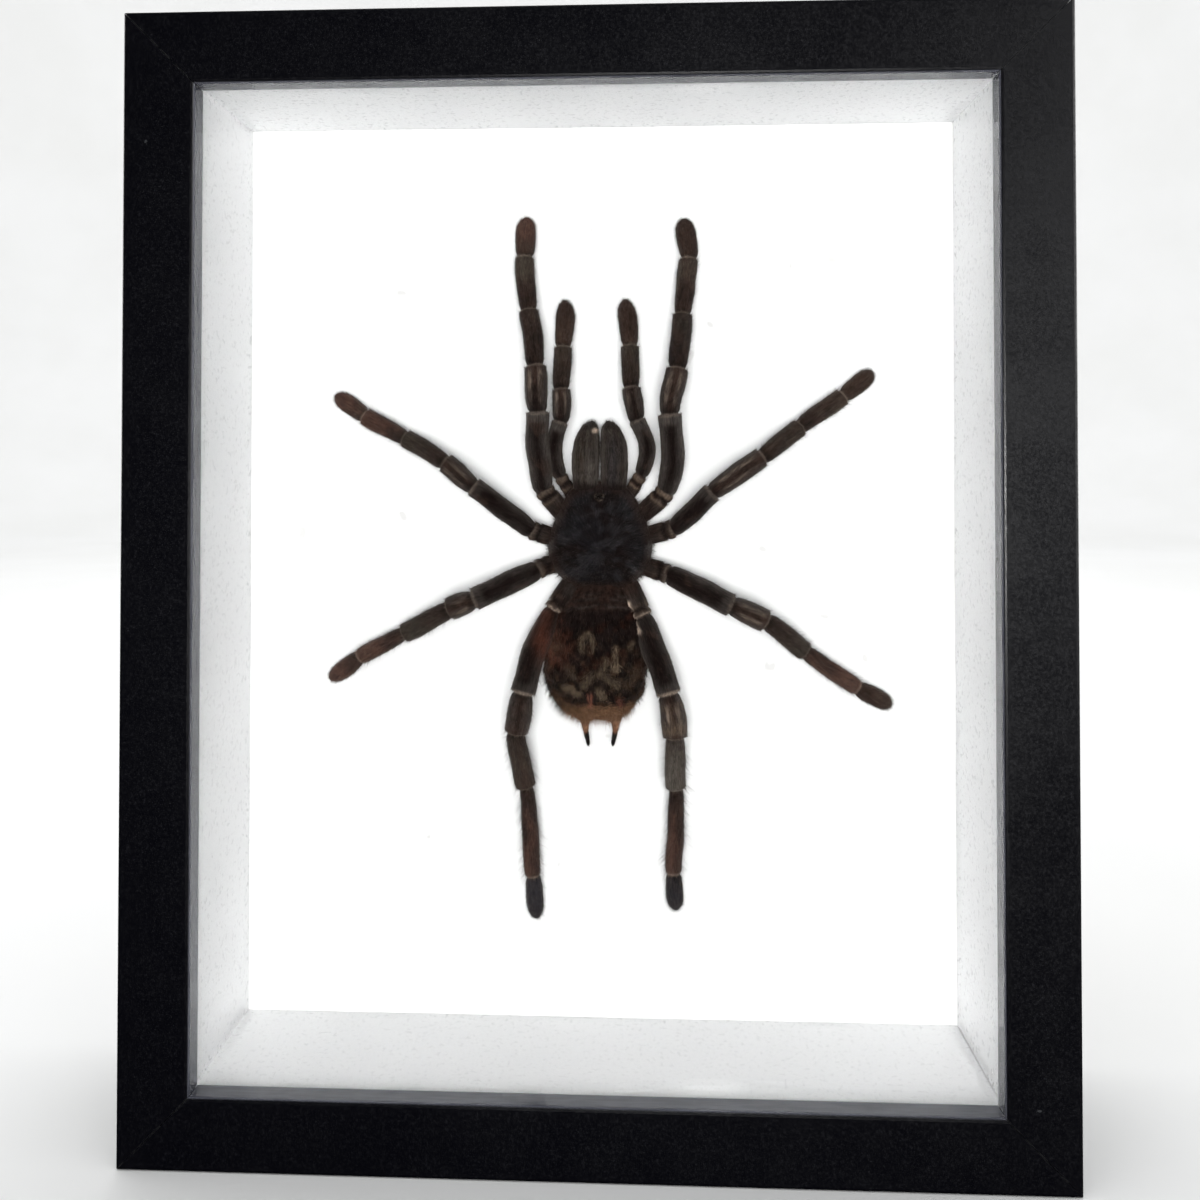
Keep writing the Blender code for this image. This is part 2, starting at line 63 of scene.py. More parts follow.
# Places worked out from the frame
OBJECT_LOW, OBJECT_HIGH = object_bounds()
MOULDING_LOW, MOULDING_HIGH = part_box("moulding_left")
FRONT_Y = MOULDING_LOW.y
CENTRE_X = (OBJECT_LOW.x + OBJECT_HIGH.x) / 2
CENTRE_Z = (OBJECT_LOW.z + OBJECT_HIGH.z) / 2
HALF_WIDTH = (OBJECT_HIGH.x - OBJECT_LOW.x) / 2
HALF_HEIGHT = (OBJECT_HIGH.z - OBJECT_LOW.z) / 2
FACE_WIDTH = MOULDING_HIGH.x - MOULDING_LOW.x
BOARD_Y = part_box("mount_board")[0].y
BODY_LOW, BODY_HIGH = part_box("prosoma")
SPECIMEN_X = (BODY_LOW.x + BODY_HIGH.x) / 2
SPECIMEN_Z = (BODY_LOW.z + BODY_HIGH.z) / 2

# The specimen's plan, in millimetres: across (right), along (towards the head) and above the board.
# Each limb: root, sideways bow of the femur, then length and heading of each part, coxa to tarsus
LIMBS = {
    "leg_1_left": ((-12.6, 7.4), 0.9, (
        (6.0, 117), (20.9, 92), (12.3, 95), (15.6, 98), (15.3, 97), (10.9, 87))),
    "leg_1_right": ((15.2, 7.8), -1.2, (
        (5.2, 60), (20.7, 88), (12.2, 81), (15.2, 82), (15.7, 85), (11.0, 96))),
    "leg_2_left": ((-16.2, -0.3), 0.0, (
        (3.4, 144), (18.7, 140), (10.3, 142), (13.5, 151), (13.5, 153), (10.3, 146))),
    "leg_2_right": ((15.9, 0.2), 0.0, (
        (4.3, 28), (14.6, 44), (15.6, 36), (13.6, 36), (14.6, 35), (10.4, 40))),
    "leg_3_left": ((-15.1, -8.5), 0.0, (
        (2.2, -168), (17.6, -155), (7.6, -159), (15.0, -150), (14.9, -152), (10.6, -143))),
    "leg_3_right": ((15.2, -9.8), 0.0, (
        (3.2, -5), (18.4, -24), (9.8, -25), (14.0, -40), (17.8, -35), (10.1, -29))),
    "leg_4_left": ((-10.8, -16.0), -0.9, (
        (4.5, -110), (22.3, -111), (10.8, -100), (16.1, -82), (25.1, -86), (11.8, -88))),
    "leg_4_right": ((9.7, -16.4), 0.5, (
        (5.6, -74), (20.4, -70), (11.7, -81), (14.9, -89), (24.0, -91), (10.2, -87))),
    "pedipalp_left": ((-9.4, 14.4), 1.9, (
        (2.2, 120), (14.8, 90), (8.7, 89), (11.7, 88), (12.9, 90))),
    "pedipalp_right": ((9.4, 14.2), -2.2, (
        (3.2, 50), (14.9, 98), (8.9, 96), (11.5, 91), (12.9, 98))),
}
# Heights of the joints above the board, from the coxa to the tip
LEG_HEIGHTS = (7.0, 8.5, 14.0, 12.5, 7.0, 4.0, 2.6)
PALP_HEIGHTS = (7.5, 8.0, 10.5, 9.0, 5.5, 3.0)
SEGMENT_WIDTHS = {
    "leg_1": (5.8, 6.6, 6.3, 5.6, 5.4, 5.6),
    "leg_2": (5.5, 5.8, 5.8, 5.2, 5.1, 5.0),
    "leg_3": (5.6, 6.5, 6.4, 5.5, 4.7, 5.0),
    "leg_4": (6.5, 6.9, 6.8, 5.7, 4.6, 4.7),
    "pedipalp": (4.0, 4.8, 5.3, 5.1, 5.2),
}
LEG_PARTS = ("coxa", "femur", "patella", "tibia", "metatarsus", "tarsus")
PALP_PARTS = ("coxa", "femur", "patella", "tibia", "tarsus")
FLATNESS = 0.84                    # height of a limb as a share of its width
HAIR_MARGIN = 0.2                  # the cuticle lies this far inside the outline that the hairs make

# Width along each part, as (share of length, share of width)
PART_SHAPES = {
    "coxa": ((0, 0.80), (0.2, 0.94), (0.6, 1.0), (0.93, 1.0), (1, 0.84)),
    "femur": (
        (0, 0.82), (0.05, 0.90), (0.2, 0.98), (0.45, 1.02),
        (0.75, 0.97), (0.92, 0.99), (0.98, 1.0), (1, 0.88)),
    "patella": ((0, 0.84), (0.07, 0.89), (0.25, 0.97), (0.5, 1.03), (0.8, 1.0), (0.95, 0.97), (1, 0.84)),
    "tibia": ((0, 0.85), (0.08, 0.93), (0.3, 0.99), (0.75, 1.02), (0.95, 1.0), (1, 0.84)),
    "metatarsus": ((0, 0.84), (0.08, 0.91), (0.3, 0.98), (0.7, 1.04), (0.93, 1.0), (1, 0.82)),
    "tarsus": ((0, 0.78), (0.07, 0.92), (0.35, 1.02), (0.6, 1.04), (0.78, 0.94), (0.91, 0.70), (1, 0.30)),
}

# Sections of the abdomen, head to tail: (along, half width, lowest, highest)
ABDOMEN_SECTIONS = (
    (-12.4, 5.0, 5.6, 9.4), (-14.6, 7.6, 4.6, 10.4), (-17.4, 9.8, 3.2, 11.8), (-20.0, 11.2, 2.4, 13.0),
    (-25.0, 12.6, 1.8, 14.4), (-31.0, 13.8, 1.5, 14.8), (-37.0, 14.0, 1.4, 14.3), (-41.5, 12.9, 1.8, 13.0),
    (-45.5, 10.0, 2.6, 11.0), (-48.0, 7.2, 3.6, 9.0), (-49.0, 4.0, 4.6, 7.6),
)
ABDOMEN_LEAN = -0.05               # sideways drift per millimetre towards the tail
CARAPACE_OUTLINE = (               # along, half width
    (14.0, 5.4), (13.3, 7.6), (10.5, 9.3), (6.5, 11.1), (2.0, 13.0), (-3.5, 14.0), (-8.0, 12.9),
    (-11.5, 9.9), (-13.6, 6.2), (-13.2, 2.6),
)
CARAPACE_CREST = (                 # along, height
    (-14.0, 11.6), (-10.0, 13.0), (-3.0, 14.2), (3.0, 14.9), (9.0, 15.3), (13.0, 14.6), (14.0, 13.9),
)
FOVEA = (0.0, -3.0)
EYES_AT = (0.0, 10.9)
CHELICERA_SECTIONS = (             # along, middle, half width, lowest, highest
    (12.6, 3.8, 3.2, 7.2, 11.6), (14.6, 3.8, 3.5, 6.4, 12.8), (18.0, 3.85, 3.70, 5.0, 13.7),
    (22.0, 3.82, 3.75, 4.4, 13.4), (25.0, 3.55, 3.50, 4.2, 12.4), (27.4, 3.05, 2.95, 4.4, 11.1),
    (29.4, 2.45, 2.2, 4.9, 9.5), (30.5, 2.2, 1.4, 5.6, 8.3), (31.1, 2.1, 0.4, 6.5, 7.3),
)
SPINNERET_ROOT = (4.1, -49.2, 5.6)
SPINNERET_TIP = (3.5, -57.0, 4.4)
SPINNERET_WIDTHS = (               # share of length, width
    (0, 3.4), (0.12, 2.7), (0.25, 2.1), (0.42, 1.75), (0.47, 1.4), (0.52, 1.6), (0.72, 1.45),
    (0.76, 1.2), (0.82, 1.3), (0.95, 1.0), (1, 0.35),
)

# Coat colours, linear
DARK = np.array((0.0095, 0.0058, 0.0052))
BROWN = np.array((0.030, 0.018, 0.014))
WARM = np.array((0.052, 0.033, 0.025))
GREY = np.array((0.080, 0.070, 0.062))
OLIVE = np.array((0.052, 0.045, 0.034))
TAN = np.array((0.150, 0.098, 0.062))
PALE = np.array((0.300, 0.235, 0.185))
RUST = np.array((0.085, 0.030, 0.019))
FOXY = np.array((0.088, 0.044, 0.033))
CREAM = np.array((0.190, 0.140, 0.092))
GOLD = np.array((0.215, 0.115, 0.062))
CHARCOAL = np.array((0.0150, 0.0138, 0.0160))
SLATE = np.array((0.0245, 0.0235, 0.0255))
BLACK = np.array((0.004, 0.0032, 0.003))


def to_world(points):
    """Specimen millimetres to the frame's metres."""
    points = np.asarray(points, float)
    world = np.empty_like(points)
    world[..., 0] = SPECIMEN_X + points[..., 0] * MM
    world[..., 1] = BOARD_Y - points[..., 2] * MM
    world[..., 2] = SPECIMEN_Z + points[..., 1] * MM
    return world


class Skin:
    """Points, faces, coat colours and flow coordinates, gathered before they become one mesh."""

    def __init__(self):
        self.points, self.coats, self.flows, self.faces = [], [], [], []
        self.count = 0

    def add(self, points, faces, coat, flow):
        points = np.asarray(points, float)
        self.points.append(points.reshape(-1, 3))
        self.coats.append(np.broadcast_to(coat, points.shape).reshape(-1, 3))
        self.flows.append(np.broadcast_to(flow, points.shape).reshape(-1, 3))
        points = self.points[-1]
        for group in faces:
            self.faces.extend((np.asarray(group) + self.count).tolist())
        self.count += len(points)

    def build(self, name, material):
        mesh = bpy.data.meshes.new(name)
        mesh.from_pydata(to_world(np.concatenate(self.points)).tolist(), [], self.faces)
        for layer, values in (("coat", self.coats), ("flow", self.flows)):
            attribute = mesh.attributes.new(layer, "FLOAT_VECTOR", "POINT")
            attribute.data.foreach_set("vector", np.concatenate(values).astype(np.float32).ravel())
        mesh.validate()
        return link_mesh(mesh, material)


def link(name, data):
    item = bpy.data.objects.new(name, data)
    bpy.context.scene.collection.objects.link(item)
    return item


def link_mesh(mesh, material):
    mesh.shade_smooth()
    mesh.materials.append(material)
    return link(mesh.name, mesh)


def grid_faces(rows, columns, start=0):
    """Quads of a tube of rings; each ring closes on itself."""
    row = np.arange(rows - 1)[:, None] * columns
    column = np.arange(columns)[None, :]
    after = (column + 1) % columns
    near = start + row
    far = near + columns
    quads = np.stack((near + column, near + after, far + after, far + column), axis=-1)
    return quads.reshape(-1, 4)


def cap_faces(ring_start, columns, centre, outward):
    """A fan of triangles from a ring to one point."""
    column = np.arange(columns)
    after = (column + 1) % columns
    fan = np.stack((ring_start + column, ring_start + after, np.full(columns, centre)), axis=-1)
    return fan if outward else fan[:, ::-1]


def closed_faces(rows, columns, outward=True):
    """Faces of a tube of rings whose two middle points follow its last ring."""
    quads, total = grid_faces(rows, columns), rows * columns
    caps = [
        cap_faces(0, columns, total, not outward),
        cap_faces(total - columns, columns, total + 1, outward),
    ]
    return [quads if outward else quads[:, ::-1], *caps]


def with_ends(rings):
    """Rings as one list, followed by the means of the first and of the last ring."""
    return np.concatenate((rings.reshape(-1, 3), rings[0].mean(0)[None], rings[-1].mean(0)[None]))


def unit(vectors):
    return vectors / np.maximum(np.linalg.norm(vectors, axis=-1, keepdims=True), 1e-9)


def mix(first, second, share):
    share = np.clip(np.asarray(share, float), 0, 1)[..., None]
    return first + (second - first) * share


def layered(colour, *layers):
    """A colour with others laid over it, each given with its share."""
    for over, share in layers:
        colour = mix(colour, over, share)
    return colour


def smoothstep(low, high, value):
    share = np.clip((value - low) / (high - low), 0, 1)
    return share * share * (3 - 2 * share)


def bump_at(value, middle, width):
    return np.exp(-((value - middle) / width) ** 2)


def spot_at(points, middle, size):
    """1 at a place in plan, falling off round it."""
    across, along = points[..., 0] - middle[0], points[..., 1] - middle[1]
    return np.exp(-(across / size[0]) ** 2 - (along / size[1]) ** 2)


def heading_vector(angle):
    """Cosine and sine of a heading given in degrees."""
    return np.array((math.cos(math.radians(angle)), math.sin(math.radians(angle))))


OCTAVES = 3
WAVES_PER_OCTAVE = 6


def waves(points, size, seed):
    """Smooth random field from -1 to 1, made of plane waves; size is its grain in millimetres."""
    rng = np.random.default_rng(seed)
    total = np.zeros(points.shape[:-1])
    strength = 1.0
    for _ in range(OCTAVES):
        for _ in range(WAVES_PER_OCTAVE):
            direction = unit(rng.normal(size=3))
            phase = rng.uniform(0, math.tau)
            total += strength * np.sin(points @ direction * math.tau / size + phase)
        size *= 0.5
        strength *= 0.55
    return np.clip(total / 4.0, -1, 1)


def curve_at(path, share):
    """Places and headings along the curve that a path's three points steer."""
    start, middle, end = (np.array(point) for point in path)
    places = (1 - share) ** 2 * start + 2 * share * (1 - share) * middle + share ** 2 * end
    return places, unit(2 * (1 - share) * (middle - start) + 2 * share * (end - middle))


def near_path(points, path, half_width):
    """1 along a curved path in plan, falling off beside it."""
    places, _ = curve_at(path, np.linspace(0, 1, 13)[:, None])
    away = np.min([((points[..., :2] - place) ** 2).sum(axis=-1) for place in places], axis=0)
    return np.exp(-away / half_width ** 2)


def gauss_kernel(reach, sigma):
    kernel = np.exp(-0.5 * (np.arange(-reach, reach + 1) / sigma) ** 2)
    return kernel / kernel.sum()


def blur(values, sigma):
    """Gaussian blur down the rows of an array, with its ends held."""
    reach = int(3 * sigma) + 1
    kernel = gauss_kernel(reach, sigma)
    padded = np.pad(values, ((reach, reach), (0, 0)), mode="reflect", reflect_type="odd")
    columns = [np.convolve(padded[:, i], kernel, mode="valid") for i in range(values.shape[1])]
    return np.stack(columns, axis=1)


def read_rings(values, rows, row_share, columns, column_share):
    """Interpolate an array over rings at sampled places."""
    following = (columns + 1) % values.shape[1]
    row_share, column_share = row_share[:, None], column_share[:, None]
    near = values[rows, columns] * (1 - column_share) + values[rows, following] * column_share
    far = values[rows + 1, columns] * (1 - column_share) + values[rows + 1, following] * column_share
    return near * (1 - row_share) + far * row_share


class Tube:
    """Rings of points round a path, with what the hairs need to grow from it."""

    def __init__(self, centres, half_widths, half_heights, columns, relief=None):
        rows = len(centres)
        tangents = unit(np.gradient(centres, axis=0))
        above = np.array((0.0, 0.0, 1.0))
        ups = unit(above - tangents * (tangents @ above)[:, None])
        sides = np.cross(tangents, ups)
        self.angles = math.tau * np.arange(columns) / columns - math.pi / 2
        cosine, sine = np.cos(self.angles), np.sin(self.angles)
        swell = 1.0 if relief is None else 1.0 + relief
        across = half_widths[:, None] * cosine * swell
        high = half_heights[:, None] * sine * swell
        centres, sides, ups, tangents = (row[:, None, :] for row in (centres, sides, ups, tangents))
        self.points = centres + sides * across[..., None] + ups * high[..., None]
        outward = sides * (cosine / half_widths[:, None])[..., None]
        self.normals = unit(outward + ups * (sine / half_heights[:, None])[..., None])
        self.tangents = np.broadcast_to(tangents, self.points.shape)
        steps = np.linalg.norm(np.diff(centres[:, 0], axis=0), axis=1)
        self.travel = np.concatenate(([0], np.cumsum(steps)))
        self.girth = math.pi * (half_widths + half_heights)
        travel = np.broadcast_to(self.travel[:, None], across.shape)
        self.flow = np.stack((travel, across, high), axis=-1)
        self.rows, self.columns = rows, columns

    def skin(self, coat):
        """A skin that holds the tube, closed at both ends."""
        skin = Skin()
        faces = closed_faces(self.rows, self.columns)
        skin.add(with_ends(self.points), faces, with_ends(coat), with_ends(self.flow))
        return skin

    def sample(self, rng, count, row_weights):
        """Random rows and columns, as whole numbers and fractions, more where the weights are high."""
        weights = row_weights * self.girth
        rows = rng.choice(self.rows - 1, size=count, p=weights[:-1] / weights[:-1].sum())
        return rows, rng.random(count), rng.integers(0, self.columns, count), rng.random(count)

    def read(self, values, place):
        return read_rings(values, *place)

    def grow(self, skin, rng, place, lengths, lifts, width, colours, bends=1, sway=0.0):
        """Hairs at sampled places, lying along the tube."""
        read = [self.read(values, place) for values in (self.points, self.normals, self.tangents)]
        add_hairs(skin, rng, read[0], read[1], read[2] + sway, lengths, lifts, width, colours, bends)


def add_hairs(skin, rng, bases, normals, flows, lengths, lifts, widths, coats, bends=1, curl=0.35):
    """Tapered three-sided hairs. lift 0 lies along the flow and 1 stands upright."""
    count = len(bases)
    lifts = np.broadcast_to(lifts, (count,))[:, None]
    lengths = np.broadcast_to(lengths, (count,))[:, None]
    widths = np.broadcast_to(widths, (count,))[:, None]
    heading = unit(unit(flows) * (1 - lifts) + normals * lifts + rng.normal(0, 0.10, (count, 3)))
    tip_heading = unit(heading + unit(flows) * curl)
    first = unit(np.cross(heading, unit(rng.normal(size=(count, 3)))))
    second = np.cross(heading, first)
    rings = []
    centre = bases - normals * 0.06
    for level in range(bends):
        radius = widths / 2 * (1 - 0.6 * level / bends)
        for corner in range(3):
            angle = math.tau * corner / 3
            rings.append(centre + (first * math.cos(angle) + second * math.sin(angle)) * radius)
        share = (level + 1) / bends
        centre = centre + unit(heading * (1 - share) + tip_heading * share) * lengths / bends
    rings.append(centre)
    per_hair = 3 * bends + 1
    points = np.stack(rings, axis=1)
    shade = np.concatenate((np.repeat(np.linspace(0.8, 1.15, bends), 3), [1.35]))
    hair_coats = coats[:, None, :] * shade[None, :, None]
    start = np.arange(count)[:, None] * per_hair
    faces = []
    for level in range(bends):
        for corner in range(3):
            a, b = 3 * level + corner, 3 * level + (corner + 1) % 3
            above = (b + 3, a + 3) if level < bends - 1 else (per_hair - 1,)
            faces.append(start + np.array((a, b, *above)))
    flow = np.broadcast_to(bases[:, None, :], points.shape)
    skin.add(points, faces, hair_coats, flow)


def grow_tuft(skin, rng, tube, path, half_width, count, length, colour):
    """A lock of hairs lying along a curved path on top of a tube."""
    plan, heading = curve_at(path, rng.random((count, 1)))
    plan = plan + rng.normal(0, half_width, (count, 1)) * np.stack((-heading[:, 1], heading[:, 0]), axis=1)
    upper = tube.normals[..., 2] > 0.05
    surface, normals = tube.points[upper], tube.normals[upper]
    nearest = np.argmin(((plan[:, None, :] - surface[None, :, :2]) ** 2).sum(axis=2), axis=1)
    flow = np.hstack((heading, np.zeros((count, 1)))) + rng.normal(0, 0.30, (count, 3))
    bases = surface[nearest] + 0.12 * rng.normal(size=(count, 3)) * (1, 1, 0.4)
    colours = colour * rng.uniform(0.35, 1.15, (count, 1))
    lengths = length * rng.uniform(0.5, 1.2, count)
    lifts = rng.uniform(0.12, 0.40, count)
    add_hairs(skin, rng, bases, normals[nearest], flow, lengths, lifts, 0.08, colours, bends=2)


class Look:
    """A Principled material with short ways to add and join nodes."""

    def __init__(self, name, **values):
        self.material = bpy.data.materials.new(name)
        self.material.use_nodes = True
        self.tree = self.material.node_tree
        self.shader = self.tree.nodes["Principled BSDF"]
        for socket, value in values.items():
            self.feed(self.shader.inputs[socket.replace("_", " ")], value)

    def feed(self, socket, source):
        """Join an output to a socket, or set the socket to a value; three numbers also make a colour."""
        if isinstance(source, bpy.types.NodeSocket):
            self.tree.links.new(source, socket)
        elif socket.type == "RGBA":
            socket.default_value = (*source, 1.0)
        else:
            socket.default_value = source

    def node(self, kind, output, inputs, **settings):
        """An output of a new node, whose inputs are values or other outputs."""
        node = self.tree.nodes.new(kind)
        for key, value in settings.items():
            setattr(node, key, value)
        for socket, source in inputs.items():
            self.feed(node.inputs[socket], source)
        return node.outputs[output]

    def math(self, operation, first, second=0.0):
        return self.node("ShaderNodeMath", 0, {0: first, 1: second}, operation=operation)

    def position(self):
        return self.node("ShaderNodeNewGeometry", "Position", {})

    def attribute(self, name):
        return self.node("ShaderNodeAttribute", "Vector", {}, attribute_name=name)

    def scaled(self, vector, scale):
        return self.node("ShaderNodeMapping", "Vector", {"Vector": vector, "Scale": scale})

    def axes(self, vector):
        return self.node("ShaderNodeSeparateXYZ", 0, {0: vector}).node.outputs

    def noise(self, vector, scale, detail=3.0, roughness=0.55):
        inputs = {"Vector": vector, "Scale": scale, "Detail": detail, "Roughness": roughness}
        return self.node("ShaderNodeTexNoise", "Fac", inputs)

    def ranged(self, value, low, high, to_low=0.0, to_high=1.0):
        inputs = {"Value": value, "From Min": low, "From Max": high, "To Min": to_low, "To Max": to_high}
        return self.node("ShaderNodeMapRange", "Result", inputs, interpolation_type="SMOOTHSTEP")

    def spread(self, noise, to_low=0.0, to_high=1.0):
        """The range in which most of a noise lies, stretched."""
        return self.ranged(noise, 0.3, 0.7, to_low, to_high)

    def plus(self, first, second):
        return self.math("ADD", first, second)

    def minus(self, first, second):
        return self.math("SUBTRACT", first, second)

    def times(self, first, second):
        return self.math("MULTIPLY", first, second)

    def mixed(self, factor, first, second):
        inputs = {"Factor": factor, "A": first, "B": second}
        return self.node("ShaderNodeMix", "Result", inputs, data_type="RGBA")

    def tinted(self, color, factor):
        """A colour multiplied by a number."""
        return self.node("ShaderNodeVectorMath", "Vector", {0: color, "Scale": factor}, operation="SCALE")

    def bump(self, height, distance, strength=1.0, before=None):
        inputs = {"Strength": strength, "Distance": distance, "Height": height}
        if before is not None:
            inputs["Normal"] = before
        return self.node("ShaderNodeBump", "Normal", inputs)

    def finish(self, color, roughness, normal):
        """Join the three main inputs and give the material."""
        for socket, source in (("Base Color", color), ("Roughness", roughness), ("Normal", normal)):
            self.feed(self.shader.inputs[socket], source)
        return self.material


def edge_distances(look, place):
    """How far a point lies inside the frame's sides, and inside its top and bottom."""
    x, _, z = look.axes(place)
    across = look.math("ABSOLUTE", look.minus(x, CENTRE_X))
    along = look.math("ABSOLUTE", look.minus(z, CENTRE_Z))
    return look.minus(HALF_WIDTH, across), look.minus(HALF_HEIGHT, along)


def scar_mask(look, place, centre, scale):
    """1 inside a small ragged oval on the face, 0 outside it."""
    offset = look.node("ShaderNodeVectorMath", "Vector", {0: place, 1: centre}, operation="SUBTRACT")
    stretched = look.scaled(offset, scale)
    reach = look.node("ShaderNodeVectorMath", "Value", {0: stretched}, operation="LENGTH")
    ragged = look.plus(reach, look.noise(place, 3000, 2.0))
    return look.ranged(ragged, 1.0, 1.7, 1.0, 0.0)


def mitre_distance(look, place):
    from_side, from_end = edge_distances(look, place)
    return look.math("ABSOLUTE", look.minus(from_side, from_end))


# Small pale scars on the moulding's face: distance from the left and from the bottom, reach across and up
SCARS = ((0.0058, 0.2449, 0.00032, 0.00040), (0.2155, 0.0196, 0.00060, 0.00030))
CORNER_FILL = 0.085                # glow painted into the white walls where they meet, standing in for light bounced between them
CORNER_REACH = 0.0034              # how far from the corner that glow reaches
LINER_SHADE_HEIGHTS = (CENTRE_Z - 0.121, CENTRE_Z - 0.112)     # painted shade: the liner darkens a little going down between these heights


def black_moulding_look():
    """Satin black foil with a very fine mottled grain, a little paler along the mitres as a painted
    highlight, and a streaky grey on the inner lip as a painted reflection.
    """
    look = Look("black_moulding", IOR=1.6, Specular_IOR_Level=0.5)
    place = look.position()
    mottle = look.noise(place, 1500, 4.0, 0.65)
    cloud = look.noise(place, 60, 2.0)
    fine = look.noise(place, 5200, 2.0, 0.6)
    # Painted highlight: a broken paler line along each mitre.
    painted_mitre_highlight = look.ranged(mitre_distance(look, place), 0.0001, 0.0004, 0.5, 0.0)
    painted_mitre_highlight = look.times(painted_mitre_highlight, look.ranged(look.noise(place, 700, 2.0), 0.40, 0.62))
    inward = look.math("MINIMUM", *edge_distances(look, place))
    lip = look.ranged(inward, FACE_WIDTH - 0.0004, FACE_WIDTH - 0.0001)
    speck = look.ranged(mottle, 0.54, 0.74)
    base = look.mixed(speck, (0.0009, 0.0009, 0.0018), (0.0034, 0.0034, 0.0052))
    base = look.mixed(painted_mitre_highlight, base, (0.016, 0.016, 0.016))
    # Painted reflection: the inner lip turns a streaky grey, standing in for the white inside mirrored in
    # it.
    streak = look.noise(look.scaled(place, (0.1, 1.0, 0.1)), 1300, 3.0)
    lip_painted_reflection = look.mixed(look.spread(streak), (0.038, 0.039, 0.048), (0.055, 0.057, 0.070))
    base = look.mixed(lip, base, lip_painted_reflection)
    for from_left, from_bottom, across, up in SCARS:
        centre = (CENTRE_X - HALF_WIDTH + from_left, 0.0, CENTRE_Z - HALF_HEIGHT + from_bottom)
        mask = scar_mask(look, place, centre, (1 / across, 0.0, 1 / up))
        base = look.mixed(mask, base, (0.018, 0.019, 0.021))
    satin = look.plus(look.ranged(mottle, 0.35, 0.7, 0.34, 0.50), look.spread(cloud, -0.03, 0.03))
    roughness = look.minus(satin, look.times(lip, 0.29))
    normal = look.bump(mottle, 0.00006, look.minus(0.35, look.times(lip, 0.30)))
    return look.finish(base, roughness, look.bump(fine, 0.00002, 0.25, normal))


WHITE = (1.0, 1.0, 1.0)


def glass_look():
    return Look("clear_glass", Transmission_Weight=1.0, Roughness=0.0, IOR=1.5, Base_Color=WHITE).material


def white_liner_look():
    """Coated white card: half gloss, faintly uneven, with painted shade low down and a painted glow along
    the corners.
    """
    look = Look("white_liner", IOR=1.5, Specular_IOR_Level=0.5, Emission_Color=WHITE)
    place = look.position()
    cloud = look.noise(place, 24, 1.0)
    grain = look.noise(place, 900, 3.0)
    base = look.mixed(look.spread(cloud), (0.89, 0.895, 0.90), (0.92, 0.925, 0.93))
    # Painted shade: the lowest strip of the liner is made a little greyer.
    painted_shade = look.ranged(look.axes(place)[2], *LINER_SHADE_HEIGHTS, 0.91, 1.0)
    # Painted light: the card glows faintly along the corners where two walls meet.
    painted_corner_glow = look.ranged(mitre_distance(look, place), 0.0, CORNER_REACH, 1.0, 0.0)
    painted_corner_glow = look.times(look.times(painted_corner_glow, painted_corner_glow), CORNER_FILL)
    look.feed(look.shader.inputs["Emission Strength"], painted_corner_glow)
    base = look.tinted(base, painted_shade)
    return look.finish(base, look.spread(grain, 0.26, 0.36), look.bump(cloud, 0.0012, 0.06))


def white_card_look():
    """Matt white card with short fibres and a few specks of dust."""
    look = Look("white_card", IOR=1.45, Specular_IOR_Level=0.3)
    place = look.position()
    fibre = look.noise(look.scaled(place, (1.0, 1.0, 0.35)), 1400, 3.0)
    cloud = look.noise(place, 18, 2.0)
    dust = look.ranged(look.noise(place, 210, 1.0, 0.3), 0.795, 0.815)
    base = look.mixed(look.spread(cloud), (0.865, 0.87, 0.865), (0.885, 0.89, 0.885))
    base = look.mixed(look.times(dust, 0.25), base, (0.45, 0.43, 0.40))
    return look.finish(base, look.spread(fibre, 0.62, 0.78), look.bump(fibre, 0.00003, 0.3))


WEAVE_PITCH = 0.0016               # the press's mesh, in metres


def hardboard_look():
    """Brown pressed fibre, with its mesh-marked rough side out."""
    look = Look("hardboard", IOR=1.45, Specular_IOR_Level=0.35)
    place = look.position()
    x, _, z = look.axes(place)
    weave = look.times(*(look.math("SINE", look.times(value, math.tau / WEAVE_PITCH)) for value in (x, z)))
    fibre = look.noise(look.scaled(place, (1.0, 1.0, 0.5)), 700, 5.0, 0.7)
    fleck = look.noise(place, 260, 4.0, 0.7)
    cloud = look.noise(place, 14, 3.0)
    base = look.mixed(look.spread(fibre), (0.105, 0.054, 0.027), (0.235, 0.135, 0.072))
    base = look.mixed(look.ranged(fleck, 0.60, 0.72), base, (0.060, 0.030, 0.016))
    base = look.mixed(look.ranged(cloud, 0.35, 0.75, 0.0, 0.35), base, (0.270, 0.160, 0.090))
    normal = look.bump(fibre, 0.00012, 0.5, look.bump(weave, 0.00010, 0.5))
    return look.finish(base, look.spread(fibre, 0.62, 0.82), normal)


def zinced_steel_look():
    """Bright zinc plate with drawn scratches and dull patches."""
    look = Look("zinced_steel", Metallic=0.75)
    place = look.position()
    drawn = look.noise(look.scaled(place, (0.06, 1.0, 1.0)), 5000, 3.0)
    patch = look.noise(place, 420, 3.0)
    base = look.mixed(look.ranged(patch, 0.35, 0.68), (0.55, 0.56, 0.58), (0.37, 0.37, 0.38))
    roughness = look.plus(look.spread(patch, 0.24, 0.42), look.spread(drawn, -0.05, 0.05))
    return look.finish(base, roughness, look.bump(drawn, 0.00001, 0.3))


